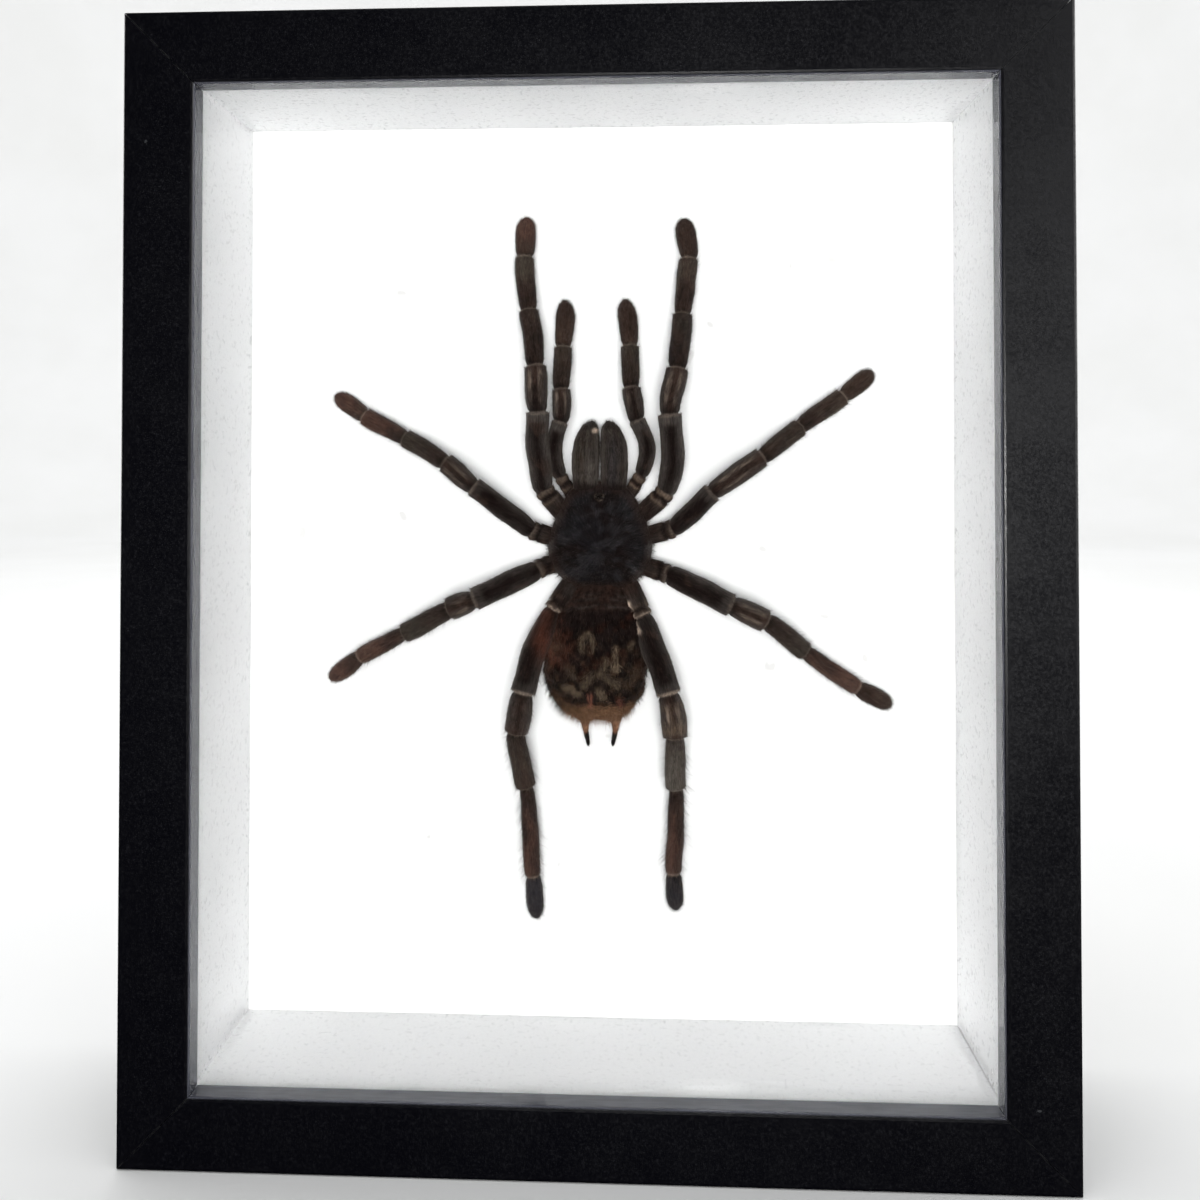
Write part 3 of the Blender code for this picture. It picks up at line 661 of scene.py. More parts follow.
def coat_look(name, streak_scale, streak_size, relief, roughness=(0.50, 0.72), sheen=0.12):
    """Dry cuticle and its hairs: the mesh's own coat colours, broken up along the way the hairs lie."""
    look = Look(name, IOR=1.5, Specular_IOR_Level=0.20,
                Sheen_Weight=sheen, Sheen_Roughness=0.4, Sheen_Tint=(0.60, 0.48, 0.40))
    flow = look.attribute("flow")
    streak = look.noise(look.scaled(flow, streak_scale), streak_size, 4.0, 0.62)
    blotch = look.noise(flow, 0.55, 3.0)
    shade = look.ranged(streak, 0.28, 0.74, 0.42, 1.35)
    shade = look.times(shade, look.ranged(blotch, 0.25, 0.75, 0.75, 1.15))
    base = look.tinted(look.attribute("coat"), shade)
    return look.finish(base, look.spread(streak, *reversed(roughness)), look.bump(streak, relief, 0.6))


def glossy_black_look(name, color, roughness):
    """Bare polished cuticle, as on fangs and eyes."""
    look = Look(name, IOR=1.55, Coat_Weight=0.4, Coat_Roughness=0.08)
    place = look.position()
    grain = look.noise(place, 2600, 3.0)
    deep = tuple(channel * 0.5 for channel in color)
    base = look.mixed(look.spread(grain), color, deep)
    dull = look.spread(grain, roughness, roughness + 0.1)
    return look.finish(base, dull, look.bump(grain, 0.00001, 0.2))


def glue_look():
    """Set hot glue: milky, amber where it is thick."""
    look = Look("set_glue", IOR=1.48,
                Subsurface_Weight=0.4, Subsurface_Scale=0.002, Subsurface_Radius=(1.0, 0.8, 0.5))
    place = look.position()
    cloud = look.noise(place, 320, 3.0)
    base = look.mixed(look.spread(cloud), (0.78, 0.72, 0.58), (0.66, 0.56, 0.38))
    return look.finish(base, look.spread(cloud, 0.18, 0.34), look.bump(cloud, 0.0003, 0.3))


def dress_frame():
    finishes = (
        ("moulding_", black_moulding_look()),
        ("glazing", glass_look()),
        ("mount_board", white_card_look()),
        ("back_panel", hardboard_look()),
        (("frame_point_", "hanger"), zinced_steel_look()),
        ("glue_dab", glue_look()),
    )
    for name, node in NODES.items():
        for starts, material in finishes:
            if name.startswith(starts):
                node.data.materials.clear()
                node.data.materials.append(material)
    NODES["glazing"].visible_shadow = False
    card = white_liner_look()
    for side in SIDES:
        make_liner(side, card)


# Liner strips
SIDES = ("left", "right", "top", "bottom")
LINER_ROUND = 0.35                 # rounding of the strips' long edges
TIGHT_JOINT = -0.10                # two strips that meet closely press into each other by twice this
OPEN_JOINT = 0.22                  # half the gap at the bottom right corner, which stands open


def rounded_strip_profile(near, far, thickness):
    """(depth, offset) points round a strip's section; offset 0 is its inner face."""
    points = [(near + (far - near) * step / 8, 0.0) for step in range(1, 8)]
    corners = ((far, 0.0, -1, 1), (far, thickness, -1, -1), (near, thickness, 1, -1), (near, 0.0, 1, 1))
    for number, (depth, offset, inward_depth, inward_offset) in enumerate(corners):
        centre = np.array((depth + inward_depth * LINER_ROUND, offset + inward_offset * LINER_ROUND))
        for turn in range(90 * number - 90, 90 * number + 1, 30):
            points.append(centre + LINER_ROUND * heading_vector(turn))
    return np.array(points)


def make_liner(side, material):
    """A strip of white card on edge, mitred to its neighbours and not quite flat."""
    low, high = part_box("liner_" + side)
    upright = side in ("left", "right")
    sign = 1 if side in ("right", "top") else -1
    middle = CENTRE_X if upright else CENTRE_Z
    walls = (low.x, high.x) if upright else (low.z, high.z)
    faces_at = sorted(abs(wall - middle) / MM for wall in walls)
    half_length = ((high.z - low.z) if upright else (high.x - low.x)) / 2 / MM - (faces_at[1] - faces_at[0])
    near, far = 0.0, (BOARD_Y - low.y) / MM - 0.03
    profile = rounded_strip_profile(near, far, faces_at[1] - faces_at[0])
    gaps = [TIGHT_JOINT, TIGHT_JOINT]
    if side == "bottom":
        gaps[1] = OPEN_JOINT
    if side == "right":
        gaps[0] = OPEN_JOINT
    stations = np.linspace(0, 1, 61)[:, None]
    depth, offset = profile[:, 0], profile[:, 1]
    first = -(half_length + offset) + gaps[0]
    last = half_length + offset - gaps[1]
    length = first + (last - first) * stations
    depth = np.broadcast_to(depth, length.shape)
    plan = np.stack((length, depth, np.full_like(length, 30.0 * sign + 10.0 * upright)), axis=-1)
    sway = 0.10 * waves(plan, 90.0, 61) + 0.02 * waves(plan, 18.0, 62)
    sway = sway * np.sin(math.pi * stations) * (offset < LINER_ROUND)
    out = sign * (faces_at[0] + offset + sway)
    points = np.empty(length.shape + (3,))
    points[..., 0] = CENTRE_X + (out if upright else length) * MM
    points[..., 1] = low.y + depth * MM
    points[..., 2] = CENTRE_Z + (length if upright else out) * MM
    rows, columns = length.shape
    faces = grid_faces(rows, columns).tolist()
    ends = [list(range(columns))[::-1], list(range((rows - 1) * columns, rows * columns))]
    mesh = bpy.data.meshes.new("liner_%s_card" % side)
    mesh.from_pydata(points.reshape(-1, 3).tolist(), [], faces + ends)
    if upright == (sign > 0):
        mesh.flip_normals()
    piece = link_mesh(mesh, material)
    for cap in mesh.polygons[-2:]:
        cap.use_smooth = False
    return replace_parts(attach(piece, "root"), "liner_" + side)


# Limbs
RING_STEP = 0.34                   # spacing of rings along a limb
LIMB_COLUMNS = 40
TUCK = 5.5                         # how far a coxa reaches in under the carapace
BODY_MIDDLE = np.array((0.0, -2.0))


def limb_joints(root, segments, heights):
    """Joint points of a limb, from under the carapace to its tip."""
    point = np.array(root)
    inner = point - TUCK * unit(point - BODY_MIDDLE)
    joints = [(*inner, heights[0] - 0.8)]
    for (length, heading), height in zip(segments, heights[1:]):
        point = point + length * heading_vector(heading)
        joints.append((*point, height))
    return np.array(joints)


def limb_rows(joints, bow):
    """Points down the middle of a limb, each with its part's number and its share of that part."""
    centres, parts, shares = [], [], []
    last = len(joints) - 2
    for number in range(last + 1):
        near, far = joints[number], joints[number + 1]
        steps = max(8, round(np.linalg.norm(far - near) / RING_STEP))
        share = np.arange(steps + (number == last)) / steps
        sideways = unit(np.cross(far - near, (0.0, 0.0, 1.0)))
        reach = bow if number == 1 else 0.0
        swing = (reach * np.sin(math.pi * share))[:, None]
        centres.append(near + (far - near) * share[:, None] - sideways * swing)
        parts.append(np.full(len(share), number))
        shares.append(share)
    return blur(np.concatenate(centres), 2.4), np.concatenate(parts), np.concatenate(shares)


def limb_widths(parts, shares, names, widths):
    full = np.zeros(len(parts))
    for number, name in enumerate(names):
        here = parts == number
        full[here] = np.interp(shares[here], *np.transpose(PART_SHAPES[name])) * widths[number]
    for row in np.flatnonzero(np.diff(parts)):
        waist = 0.86 * min(full[max(row - 4, 0)], full[min(row + 5, len(full) - 1)])
        full[row:row + 2] = np.minimum(full[row:row + 2], waist)
    return full


def limb_seed(name):
    return sum(ord(letter) for letter in name)


RUSTY_PARTS = {
    ("leg_2_left", "metatarsus"), ("leg_2_left", "tarsus"), ("leg_3_left", "metatarsus"),
    ("leg_3_left", "tarsus"), ("leg_3_right", "metatarsus"), ("leg_1_left", "tarsus"),
}

# Marks on the hind femora, a rusty stain on the left one and a thin pale line on the right one: path of
# three points, half width, hairs, hair length, colour
FEMUR_MARKS = {
    "leg_4_left": (((-16.2, -20.4), (-15.2, -26.0), (-13.0, -32.2)), 2.9, 260, 1.4, RUST * 0.85),
    "leg_4_right": (((7.4, -18.0), (7.9, -20.8), (10.1, -24.8)), 0.70, 260, 1.0, PALE * 2.4),
}


def limb_coat(name, names, parts, shares, angles, tube):
    """Coat colours over a limb: femora and patellae greyer at their sides as painted sheen, streaked
    patellae, pale joints and browner feet.
    """
    share, angle = np.meshgrid(shares, angles, indexing="ij")
    travel = np.broadcast_to(tube.travel[:, None], share.shape)
    sideways = np.abs(np.cos(angle))
    seed = limb_seed(name)
    cloud = waves(tube.flow * (0.6, 1.0, 1.0), 9.0, seed)
    patch = waves(tube.flow * (0.5, 1.0, 1.0), 4.0, seed + 1)
    stripes = bump_at(angle, math.pi / 2 - 0.42, 0.12) + bump_at(angle, math.pi / 2 + 0.50, 0.16)
    middle = smoothstep(0.08, 0.24, share) * (1 - smoothstep(0.76, 0.94, share))
    hind, front = name.startswith("leg_4"), name.startswith(("leg_1", "pedipalp"))
    palest = name == "leg_4_right"
    ends = [tube.travel[np.flatnonzero(parts == number)[-1]] for number in range(len(names))]
    coat = np.zeros(share.shape + (3,))
    for number, part in enumerate(names):
        gap = ends[number] - travel
        if part == "coxa":
            wander = gap + 0.45 * patch + 0.25 * cloud
            broken = (0.8 if front else 0.55) + 0.6 * cloud
            bands = 0.8 * bump_at(wander, 0.8, 0.6 if front else 0.5) + 0.7 * bump_at(wander, 3.4, 0.45)
            rim_colour, rim_share = (PALE, 0.9) if hind else (PALE * 0.6, 0.4)
            layers = [
                (BROWN, 0.5 + 0.4 * cloud),
                (GREY * 0.4, 0.25 + 0.3 * patch),
                (mix(TAN, GREY, 0.45) * (1.15 if front else 0.85), broken * bands),
                (DARK * 0.8, 0.85 * bump_at(wander, 2.0, 0.5)),
                (rim_colour, rim_share * bump_at(wander, 0.12, 0.3)),
            ]
            if hind:
                sides = bump_at(gap, 2.0, 1.9) * smoothstep(0.72, 0.95, sideways)
                layers.append((PALE * 0.5, (0.5 + 0.4 * patch) * sides))
            colour = layered(DARK, *layers)
        elif part == "femur":
            # Painted sheen: the femur's sides are greyer than its dark middle.
            painted_side_sheen = 0.85 * sideways ** 1.7 if front else 0.55 * sideways ** 2.4
            cuff = (0.62 if front else 0.30) * smoothstep(3.2, 1.6, gap)
            colour = layered(
                DARK * (0.75 if hind else 0.9),
                (GREY, painted_side_sheen + 0.10 * cloud + 0.01),
                (GREY, cuff * (0.8 + 0.3 * patch)),
                (WARM, 0.35 * smoothstep(0.5, 0.9, patch)))
        elif part == "patella":
            bright = {"leg_4_left": 0.15, "leg_4_right": 0.85}.get(name, 0.55)
            ribs = 0.62 + 0.38 * np.sin(15 * angle + 2 * patch)
            # Painted sheen: the patella's sides turn greyer, between the ribs too.
            colour = layered(
                DARK,
                (BROWN, 0.40 + 0.5 * cloud + 0.4 * smoothstep(0.5, 0.95, share)),
                (GREY * 0.9, 0.55 * sideways ** 2),
                (PALE * 0.7, 1.3 * bright * stripes * middle * (0.8 + 0.6 * cloud) * ribs),
                (GREY, 0.30 * (1 - ribs) * smoothstep(0.3, 0.9, sideways)))
            if palest:
                colour = mix(colour, mix(TAN, GREY, 0.3) * 0.85, 0.6 * middle * (0.6 + 0.6 * patch))
        elif part == "tibia":
            pale = {"leg_1": -0.15, "leg_4": 0.25}.get(name[:5], 0.1)
            colour = layered(
                DARK,
                (BROWN, 0.3 + 0.5 * patch),
                (mix(WARM, OLIVE, 0.5 + 0.5 * cloud), pale + 0.5 * share + 0.3 * stripes * middle))
            if palest:
                colour = mix(colour, mix(OLIVE, GREY, 0.5) * 1.5, 0.45 + 0.3 * share + 0.2 * cloud)
        elif part == "metatarsus":
            far = FOXY if hind else mix(WARM, OLIVE, 0.4 + 0.5 * cloud) * 1.2
            reach = 0.25 + 0.65 * smoothstep(-0.7, 0.6, np.cos(angle)) if hind else 0.6
            reach = reach * smoothstep(0.25, 0.65, share + 0.2 * patch)
            colour = mix(mix(DARK, BROWN, 0.6 + 0.5 * patch) * 1.2, far, reach + 0.15 * cloud)
        else:
            near, far = (CHARCOAL, CHARCOAL * 1.7) if hind else (BROWN, WARM)
            colour = mix(near, far, 0.5 + 0.45 * cloud + 0.25 * patch)
        if (name, part) in RUSTY_PARTS:
            colour = mix(colour, FOXY, 0.75 * smoothstep(0.0, 0.6, share + 0.2 * patch))
        coat[parts == number] = colour[parts == number]
    rims = {"femur": 0.85 if hind else 0.32, "patella": 0.4, "tibia": 0.55, "metatarsus": 0.80}
    for end, part in zip(ends[:-1], names):
        if part in rims:
            coat = layered(
                coat,
                (PALE * 1.1, rims[part] * bump_at(travel, end - 0.12, 0.30) * (0.7 + 0.3 * patch)),
                (BLACK, 0.6 * bump_at(travel, end + 0.5, 0.28)))
    if name in FEMUR_MARKS:
        path, half_width, *_, tint = FEMUR_MARKS[name]
        coat = mix(coat, tint, 0.85 * near_path(tube.points, path, half_width) * (0.75 + 0.4 * patch))
    return coat


# Hairs on each part: short hairs per square millimetre, their length and lift, long hairs per millimetre of
# limb, and their length
PART_HAIRS = {
    "coxa": (5.0, 0.8, 0.26, 4.0, 1.4),
    "femur": (7.0, 0.75, 0.20, 5.0, 1.5),
    "patella": (7.0, 0.8, 0.24, 6.0, 1.8),
    "tibia": (7.5, 0.9, 0.30, 12.0, 2.3),
    "metatarsus": (8.5, 0.9, 0.34, 14.0, 2.5),
    "tarsus": (10.0, 0.85, 0.40, 8.0, 1.5),
}
FUZZ_DENSITY = 4.5                 # finer, more upright hairs per square millimetre
LONG_HAIR_SCALE = {"leg_4": 1.4, "leg_3": 1.05, "leg_2": 0.95, "leg_1": 0.75, "pedipalp": 0.75}


def grow_limb_hairs(skin, rng, tube, coat, parts, names, kind, bare):
    """Short hairs that lie flat, finer ones that stand up more, and long loose ones."""
    long_scale = LONG_HAIR_SCALE[kind]
    for number, part in enumerate(names):
        density, length, lift, long_density, long_length = PART_HAIRS[part]
        here = (parts == number).astype(float)
        travel = tube.travel[parts == number]
        span = travel[-1] - travel[0]
        area = float((tube.girth * here).sum() * span / max(here.sum(), 1))
        fuzz = FUZZ_DENSITY * area * (0.5 if part == "femur" else 1)
        # count, length, its range, lift, its spread and range, width, bends, tint, its share, brightness
        for count, size, sizes, raised, spread, lifts, width, bends, tint, share, shades in (
            (density * area, length, (0.6, 1.25), lift, 0.07, (0.05, 0.7), 0.075, 1, WARM, 0.0, (0.7, 1.5)),
            (fuzz, 1.25 * length, (0.6, 1.4), 0.46, 0.12, (0.1, 0.8), 0.042, 1, WARM, 0.15, (0.7, 1.4)),
            (long_density * long_scale * span, long_length * long_scale, (0.6, 1.25),
             0.52, 0.12, (0.2, 0.85), 0.042, 2, WARM * 1.3, 0.5, (0.7, 1.3)),
        ):
            count = int(count)
            if count:
                place = tube.sample(rng, count, here * bare)
                colour = mix(tube.read(coat, place), tint, share) * rng.uniform(*shades, (count, 1))
                lengths = size * rng.uniform(*sizes, count)
                raised = np.clip(raised + rng.normal(0, spread, count), *lifts)
                tube.grow(skin, rng, place, lengths, raised, width, colour, bends)


def make_limb(name, material):
    root, bow, segments = LIMBS[name]
    kind = name.rsplit("_", 1)[0]
    palp = kind == "pedipalp"
    names = PALP_PARTS if palp else LEG_PARTS
    joints = limb_joints(root, segments, PALP_HEIGHTS if palp else LEG_HEIGHTS)
    centres, parts, shares = limb_rows(joints, bow)
    drift = np.arange(len(centres)) * RING_STEP
    centres[:, 0] += 0.22 * np.sin(drift / 5.1 + centres[0, 1]) + 0.10 * np.sin(drift / 1.9 + centres[0, 0])
    full = limb_widths(parts, shares, names, SEGMENT_WIDTHS[kind]) - 2 * HAIR_MARGIN
    seed = limb_seed(name)
    rng = np.random.default_rng(seed)
    angles = math.tau * np.arange(LIMB_COLUMNS) / LIMB_COLUMNS - math.pi / 2
    rough = Tube(centres, full / 2, full / 2 * FLATNESS, LIMB_COLUMNS)
    coxa_end = rough.travel[np.flatnonzero(parts == 0)[-1]]
    full = full * (1 - 0.13 * bump_at(rough.travel, coxa_end - 1.9, 0.4))
    lumps = 0.030 * waves(rough.flow * (0.6, 1.0, 1.0), 5.0, seed)
    flutes = 0.018 * np.sin(7 * angles + rng.uniform(0, math.tau)) * smoothstep(0.05, 0.25, shares)[:, None]
    middle = (smoothstep(0.05, 0.2, shares) * (1 - smoothstep(0.8, 0.95, shares)))[:, None]
    grooves = bump_at(angles, math.pi / 2 - 0.42, 0.15) + bump_at(angles, math.pi / 2 + 0.46, 0.15)
    relief = lumps + flutes - 0.045 * grooves[None, :] * middle
    tube = Tube(centres, full / 2, full / 2 * FLATNESS, LIMB_COLUMNS, relief)
    coat = limb_coat(name, names, parts, shares, angles, tube)
    skin = tube.skin(coat)
    bare = np.ones(len(parts))
    for row in np.flatnonzero(np.diff(parts)):
        bare *= 1 - 0.9 * bump_at(tube.travel, tube.travel[row] + 0.1, 0.45)
    grow_limb_hairs(skin, rng, tube, coat, parts, names, kind, bare)
    if name in FEMUR_MARKS:
        path, half_width, count, length, tint = FEMUR_MARKS[name]
        grow_tuft(skin, rng, tube, path, 0.4 * half_width, count, length, tint)
    piece = skin.build(name + "_with_hairs", material)
    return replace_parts(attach(piece, "root"), name)


# Body
CARAPACE_COLUMNS = 168


def carapace_reach(angles):
    """Distance from the fovea to the margin at each angle."""
    outline = np.array(CARAPACE_OUTLINE)
    right = np.stack((outline[:, 1], outline[:, 0]), axis=1)
    left = right[::-1] * (-1, 1)
    edge = np.concatenate((right, left)) - FOVEA
    turn = np.arctan2(edge[:, 1], edge[:, 0])
    order = np.argsort(turn)
    reach = np.interp(angles, turn[order], np.linalg.norm(edge, axis=1)[order], period=math.tau)
    wrapped = np.concatenate((reach[-6:], reach, reach[:6]))
    return np.convolve(wrapped, gauss_kernel(6, 2.2), mode="valid")


def angle_from(angle, middle):
    return (angle - middle + math.pi) % math.tau - math.pi


def carapace_height(x, y, share, angle):
    """Height of the domed carapace, with its fovea, cephalic grooves and radial furrows."""
    top = np.interp(y, *np.transpose(CARAPACE_CREST))
    margin = 7.6 + 0.8 * smoothstep(4, 14, y)
    dome = (1 - np.clip(share, 0, 1) ** 2.7) ** 0.55
    height = margin + (top - margin) * dome
    head = smoothstep(-1, 6, y) * bump_at(x, 0, 5.6) * (1 - smoothstep(0.80, 1.0, share))
    height = height + 0.7 * head
    window = smoothstep(0.10, 0.25, share) * (1 - smoothstep(0.75, 0.97, share))
    for turn, depth, width in ((52, 0.50, 0.10), (12, 0.30, 0.09), (-22, 0.28, 0.09), (-55, 0.26, 0.10)):
        for side in (turn, 180 - turn):
            height = height - depth * window * bump_at(angle_from(angle, math.radians(side)), 0, width)
    height = height - 0.05 * window * np.sin(44 * angle)
    height = height - spot_at(np.stack((x, y), axis=-1), FOVEA, (1.7, 0.55))
    mound = np.clip(1 - ((x - EYES_AT[0]) / 1.30) ** 2 - ((y - EYES_AT[1]) / 1.0) ** 2, 0, 1) ** 0.6
    return height + mound


def make_prosoma(material):
    angles = math.tau * np.arange(CARAPACE_COLUMNS) / CARAPACE_COLUMNS
    reach = carapace_reach(angles)
    shares = np.concatenate((np.linspace(0.012, 0.9, 58), np.linspace(0.91, 1.0, 12)))
    angle = np.broadcast_to(angles, (len(shares), CARAPACE_COLUMNS))
    share = np.broadcast_to(shares[:, None], angle.shape)
    x = FOVEA[0] + share * reach * np.cos(angle)
    y = FOVEA[1] + share * reach * np.sin(angle)
    plan = np.stack((x, y, np.zeros_like(x)), axis=-1)
    height = carapace_height(x, y, share, angle) + 0.16 * waves(plan, 5.0, 11) + 0.04 * waves(plan, 1.2, 12)
    height = height + 0.22 * bump_at(share, 0.985, 0.012)
    rim = height[-1]
    rows = [np.stack((x, y, height), axis=-1)]
    underside = ((0.975, rim - 0.55), (0.93, rim - 1.3), (0.86, 5.6), (0.74, 4.5), (0.5, 4.0), (0.02, 3.9))
    for inset, level in underside:
        edge_x = FOVEA[0] + inset * reach * np.cos(angles)
        edge_y = FOVEA[1] + inset * reach * np.sin(angles)
        rows.append(np.stack((edge_x, edge_y, level + 0 * rim), axis=1)[None])
    points = np.concatenate(rows)
    flow = np.stack((share * reach, 9 * np.cos(angle), 9 * np.sin(angle)), axis=-1)
    flow = np.concatenate((flow, np.broadcast_to(flow[-1], (len(underside),) + flow[-1].shape)))
    margin = smoothstep(0.78, 0.97, share)
    cloud, blotch, fleck = waves(plan, 9.0, 13), waves(plan, 4.5, 14), waves(plan, 1.6, 15)
    rays = waves(np.stack((0.25 * share * reach, 7 * np.cos(angle), 7 * np.sin(angle)), axis=-1), 3.0, 16)
    pubescence = smoothstep(-0.15, 0.75, blotch + 0.35 * rays) * (1 - margin)
    from_eyes = np.hypot((x - EYES_AT[0]) / 1.2, y - EYES_AT[1])
    coat = layered(
        CHARCOAL * 0.55,
        (DARK * 0.7, 0.5 + 0.5 * cloud),
        (SLATE, 0.50 * pubescence + 0.12 * fleck),
        (BROWN, 0.85 * margin * (0.75 + 0.25 * fleck)),
        (BLACK, 0.8 * bump_at(from_eyes, 0, 0.6)),
        (PALE * 0.5, 0.6 * bump_at(from_eyes, 1.0, 0.22) * smoothstep(-0.3, 0.5, fleck)))
    coats = np.concatenate((coat, np.broadcast_to(DARK * 0.9, (len(underside), CARAPACE_COLUMNS, 3))))
    skin = Skin()
    faces = closed_faces(len(points), CARAPACE_COLUMNS, outward=False)
    skin.add(with_ends(points), faces, with_ends(coats), with_ends(flow))
    grow_carapace_hairs(skin, np.random.default_rng(21), points[:len(shares)], coat, shares)
    piece = skin.build("prosoma_with_hairs", material)
    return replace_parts(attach(piece, "root"), "prosoma")


def grow_carapace_hairs(skin, rng, surface, coat, shares):
    """Short hairs that lie outwards from the fovea, and a longer fringe at the margin."""
    rows, columns = surface.shape[:2]
    down = np.gradient(surface, axis=0)
    round_it = np.roll(surface, -1, axis=1) - np.roll(surface, 1, axis=1)
    normals = unit(np.cross(down, round_it))
    normals = np.where(normals[..., 2:] < 0, -normals, normals)
    flows = unit(down)
    weights = shares * np.gradient(shares)
    kinds = ((9000, 0.85, 0.16, 0.075, False), (1500, 1.9, 0.30, 0.07, True))
    for count, length, lift, width, edge in kinds:
        allowed = weights * (smoothstep(0.93, 1.0, shares) if edge else smoothstep(0.02, 0.12, shares))
        row = rng.choice(rows - 1, size=count, p=allowed[:-1] / allowed[:-1].sum())
        column = rng.integers(0, columns, count)
        bases = read_rings(surface, row, rng.random(count), column, rng.random(count))
        colour = coat[row, column] * rng.uniform(0.8, 1.9, (count, 1))
        lengths = length * rng.uniform(0.6, 1.3, count)
        normal, flow = normals[row, column], flows[row, column]
        add_hairs(skin, rng, bases, normal, flow, lengths, lift, width, colour, bends=2 if edge else 1)


def make_eyes(material):
    """Eight eyes on the tubercle: two round dark ones in the middle and three pale ones to each side."""
    skin = Skin()
    top = 15.95
    places = ((0.30, 0.10, 0.08, 0.27, BLACK), (0.76, 0.38, -0.22, 0.19, PALE),
              (0.82, -0.26, -0.26, 0.19, PALE * 0.8), (0.50, -0.42, -0.06, 0.13, PALE))
    rows, columns = 8, 14
    rise = np.linspace(-0.45 * math.pi, 0.48 * math.pi, rows)[:, None]
    turn = math.tau * np.arange(columns) / columns
    level, height = np.cos(rise), np.sin(rise) + 0 * turn
    ball = np.stack((level * np.cos(turn), level * np.sin(turn), height), axis=-1)
    for across, along, drop, radius, colour in places:
        for side in (-1, 1):
            centre = np.array((EYES_AT[0] + side * across, EYES_AT[1] + along, top + drop))
            ends = np.array((centre - (0, 0, radius), centre + (0, 0, radius)))
            points = np.concatenate(((centre + radius * ball).reshape(-1, 3), ends))
            skin.add(points, closed_faces(rows, columns), colour, (0, 0, 0))
    piece = skin.build("eyes", material)
    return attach(piece, "root")


def section_tube(sections, middle_of, rows, columns, relief_of):
    """A tube through (along, half width, lowest, highest) sections, smoothed between them."""
    table = np.array(sections, float)
    order = table[:, 0].argsort()
    along = np.linspace(table[0, 0], table[-1, 0], rows)
    columns_out = [np.interp(along, table[order, 0], table[order, i]) for i in range(1, table.shape[1])]
    smooth = blur(np.stack(columns_out, axis=1), rows / 60)
    half, low, high = np.maximum(smooth[:, 0], 0.15), smooth[:, 1], smooth[:, 2]
    centres = np.stack((middle_of(along), along, (low + high) / 2), axis=1)
    half_height = np.maximum((high - low) / 2, 0.12)
    rough = Tube(centres, half, half_height, columns)
    return Tube(centres, half, half_height, columns, relief_of(rough))


PEDICEL_FOLDS = (-15.1, -16.2, -17.8)     # folds across the narrow front end
TAIL_FRINGE = (-43.8, -47.2)              # the coat turns to tan between these
TAIL_CURVE = 0.016                        # and earlier towards the sides

# Tufts on the abdomen: path of three points, half width, hairs, hair length, colour
ABDOMEN_TUFTS = (
    (((4.5, -28.6), (3.9, -32.0), (5.0, -34.8)), 0.38, 300, 1.2, CREAM * 0.85),
    (((3.5, -32.4), (3.2, -33.6), (4.2, -35.0)), 0.32, 120, 1.1, CREAM * 0.9),
    (((1.7, -31.4), (2.2, -32.6), (0.9, -34.4)), 0.36, 130, 1.1, CREAM * 0.75),
    (((-3.0, -25.0), (-5.2, -26.2), (-4.5, -29.8)), 0.50, 230, 1.2, CREAM * 0.60),
    (((-2.8, -25.0), (-1.1, -26.6), (-1.8, -29.9)), 0.38, 170, 1.2, CREAM * 0.75),
    (((0.2, -35.4), (2.6, -36.9), (5.0, -39.0)), 0.62, 420, 1.3, CREAM * 0.60),
    (((-1.4, -35.7), (-2.8, -36.9), (-4.4, -39.0)), 0.60, 340, 1.3, CREAM * 0.52),
    (((-9.9, -39.6), (-8.0, -39.4), (-5.6, -41.4)), 0.60, 400, 1.3, CREAM * 1.0),
    (((0.0, -39.8), (0.5, -41.0), (0.9, -42.4)), 0.62, 320, 1.2, CREAM * 0.85),
    (((7.6, -29.6), (8.3, -28.8), (9.0, -27.6)), 0.44, 130, 1.0, CREAM * 0.45),
    (((7.4, -39.0), (9.0, -37.2), (10.4, -34.8)), 0.85, 300, 1.2, TAN * 0.48),
    (((-9.0, -34.0), (-7.4, -35.0), (-6.6, -36.8)), 0.60, 200, 1.2, CREAM * 0.34),
    (((-2.5, -40.8), (-2.3, -42.6), (-2.6, -44.8)), 0.26, 170, 1.2, RUST * 3.0),
    (((4.9, -42.6), (5.5, -43.4), (5.6, -44.8)), 0.50, 150, 1.1, RUST * 1.8),
    (((-14.6, -20.6), (-14.0, -26.0), (-11.0, -32.0)), 2.3, 900, 2.0, RUST * 0.95),
    (((-15.2, -23.0), (-13.6, -27.0), (-11.4, -30.0)), 1.3, 420, 1.8, TAN * 0.62),
    (((-14.2, -28.0), (-13.2, -29.8), (-12.6, -31.6)), 0.75, 220, 1.3, RUST * 2.0),
    (((-12.4, -41.0), (-10.6, -43.8), (-8.4, -45.6)), 0.7, 260, 1.8, GOLD * 0.40),
    (((-9.6, -44.8), (-7.4, -46.6), (-4.2, -47.6)), 0.9, 620, 2.2, GOLD * 0.95),
    (((-5.0, -45.8), (-1.0, -47.0), (3.6, -46.6)), 1.1, 900, 1.9, GOLD * 1.35),
    (((3.6, -47.4), (6.4, -46.8), (8.6, -45.0)), 0.8, 560, 2.1, GOLD * 1.30),
    (((8.4, -45.4), (10.2, -43.6), (11.6, -41.2)), 0.6, 240, 1.8, GOLD * 0.40),
    (((-4.6, -46.4), (-4.3, -48.6), (-4.0, -51.2)), 0.95, 460, 1.6, GOLD * 1.3),
    (((4.6, -46.4), (4.3, -48.6), (4.0, -51.2)), 0.95, 460, 1.6, GOLD * 1.3),
)


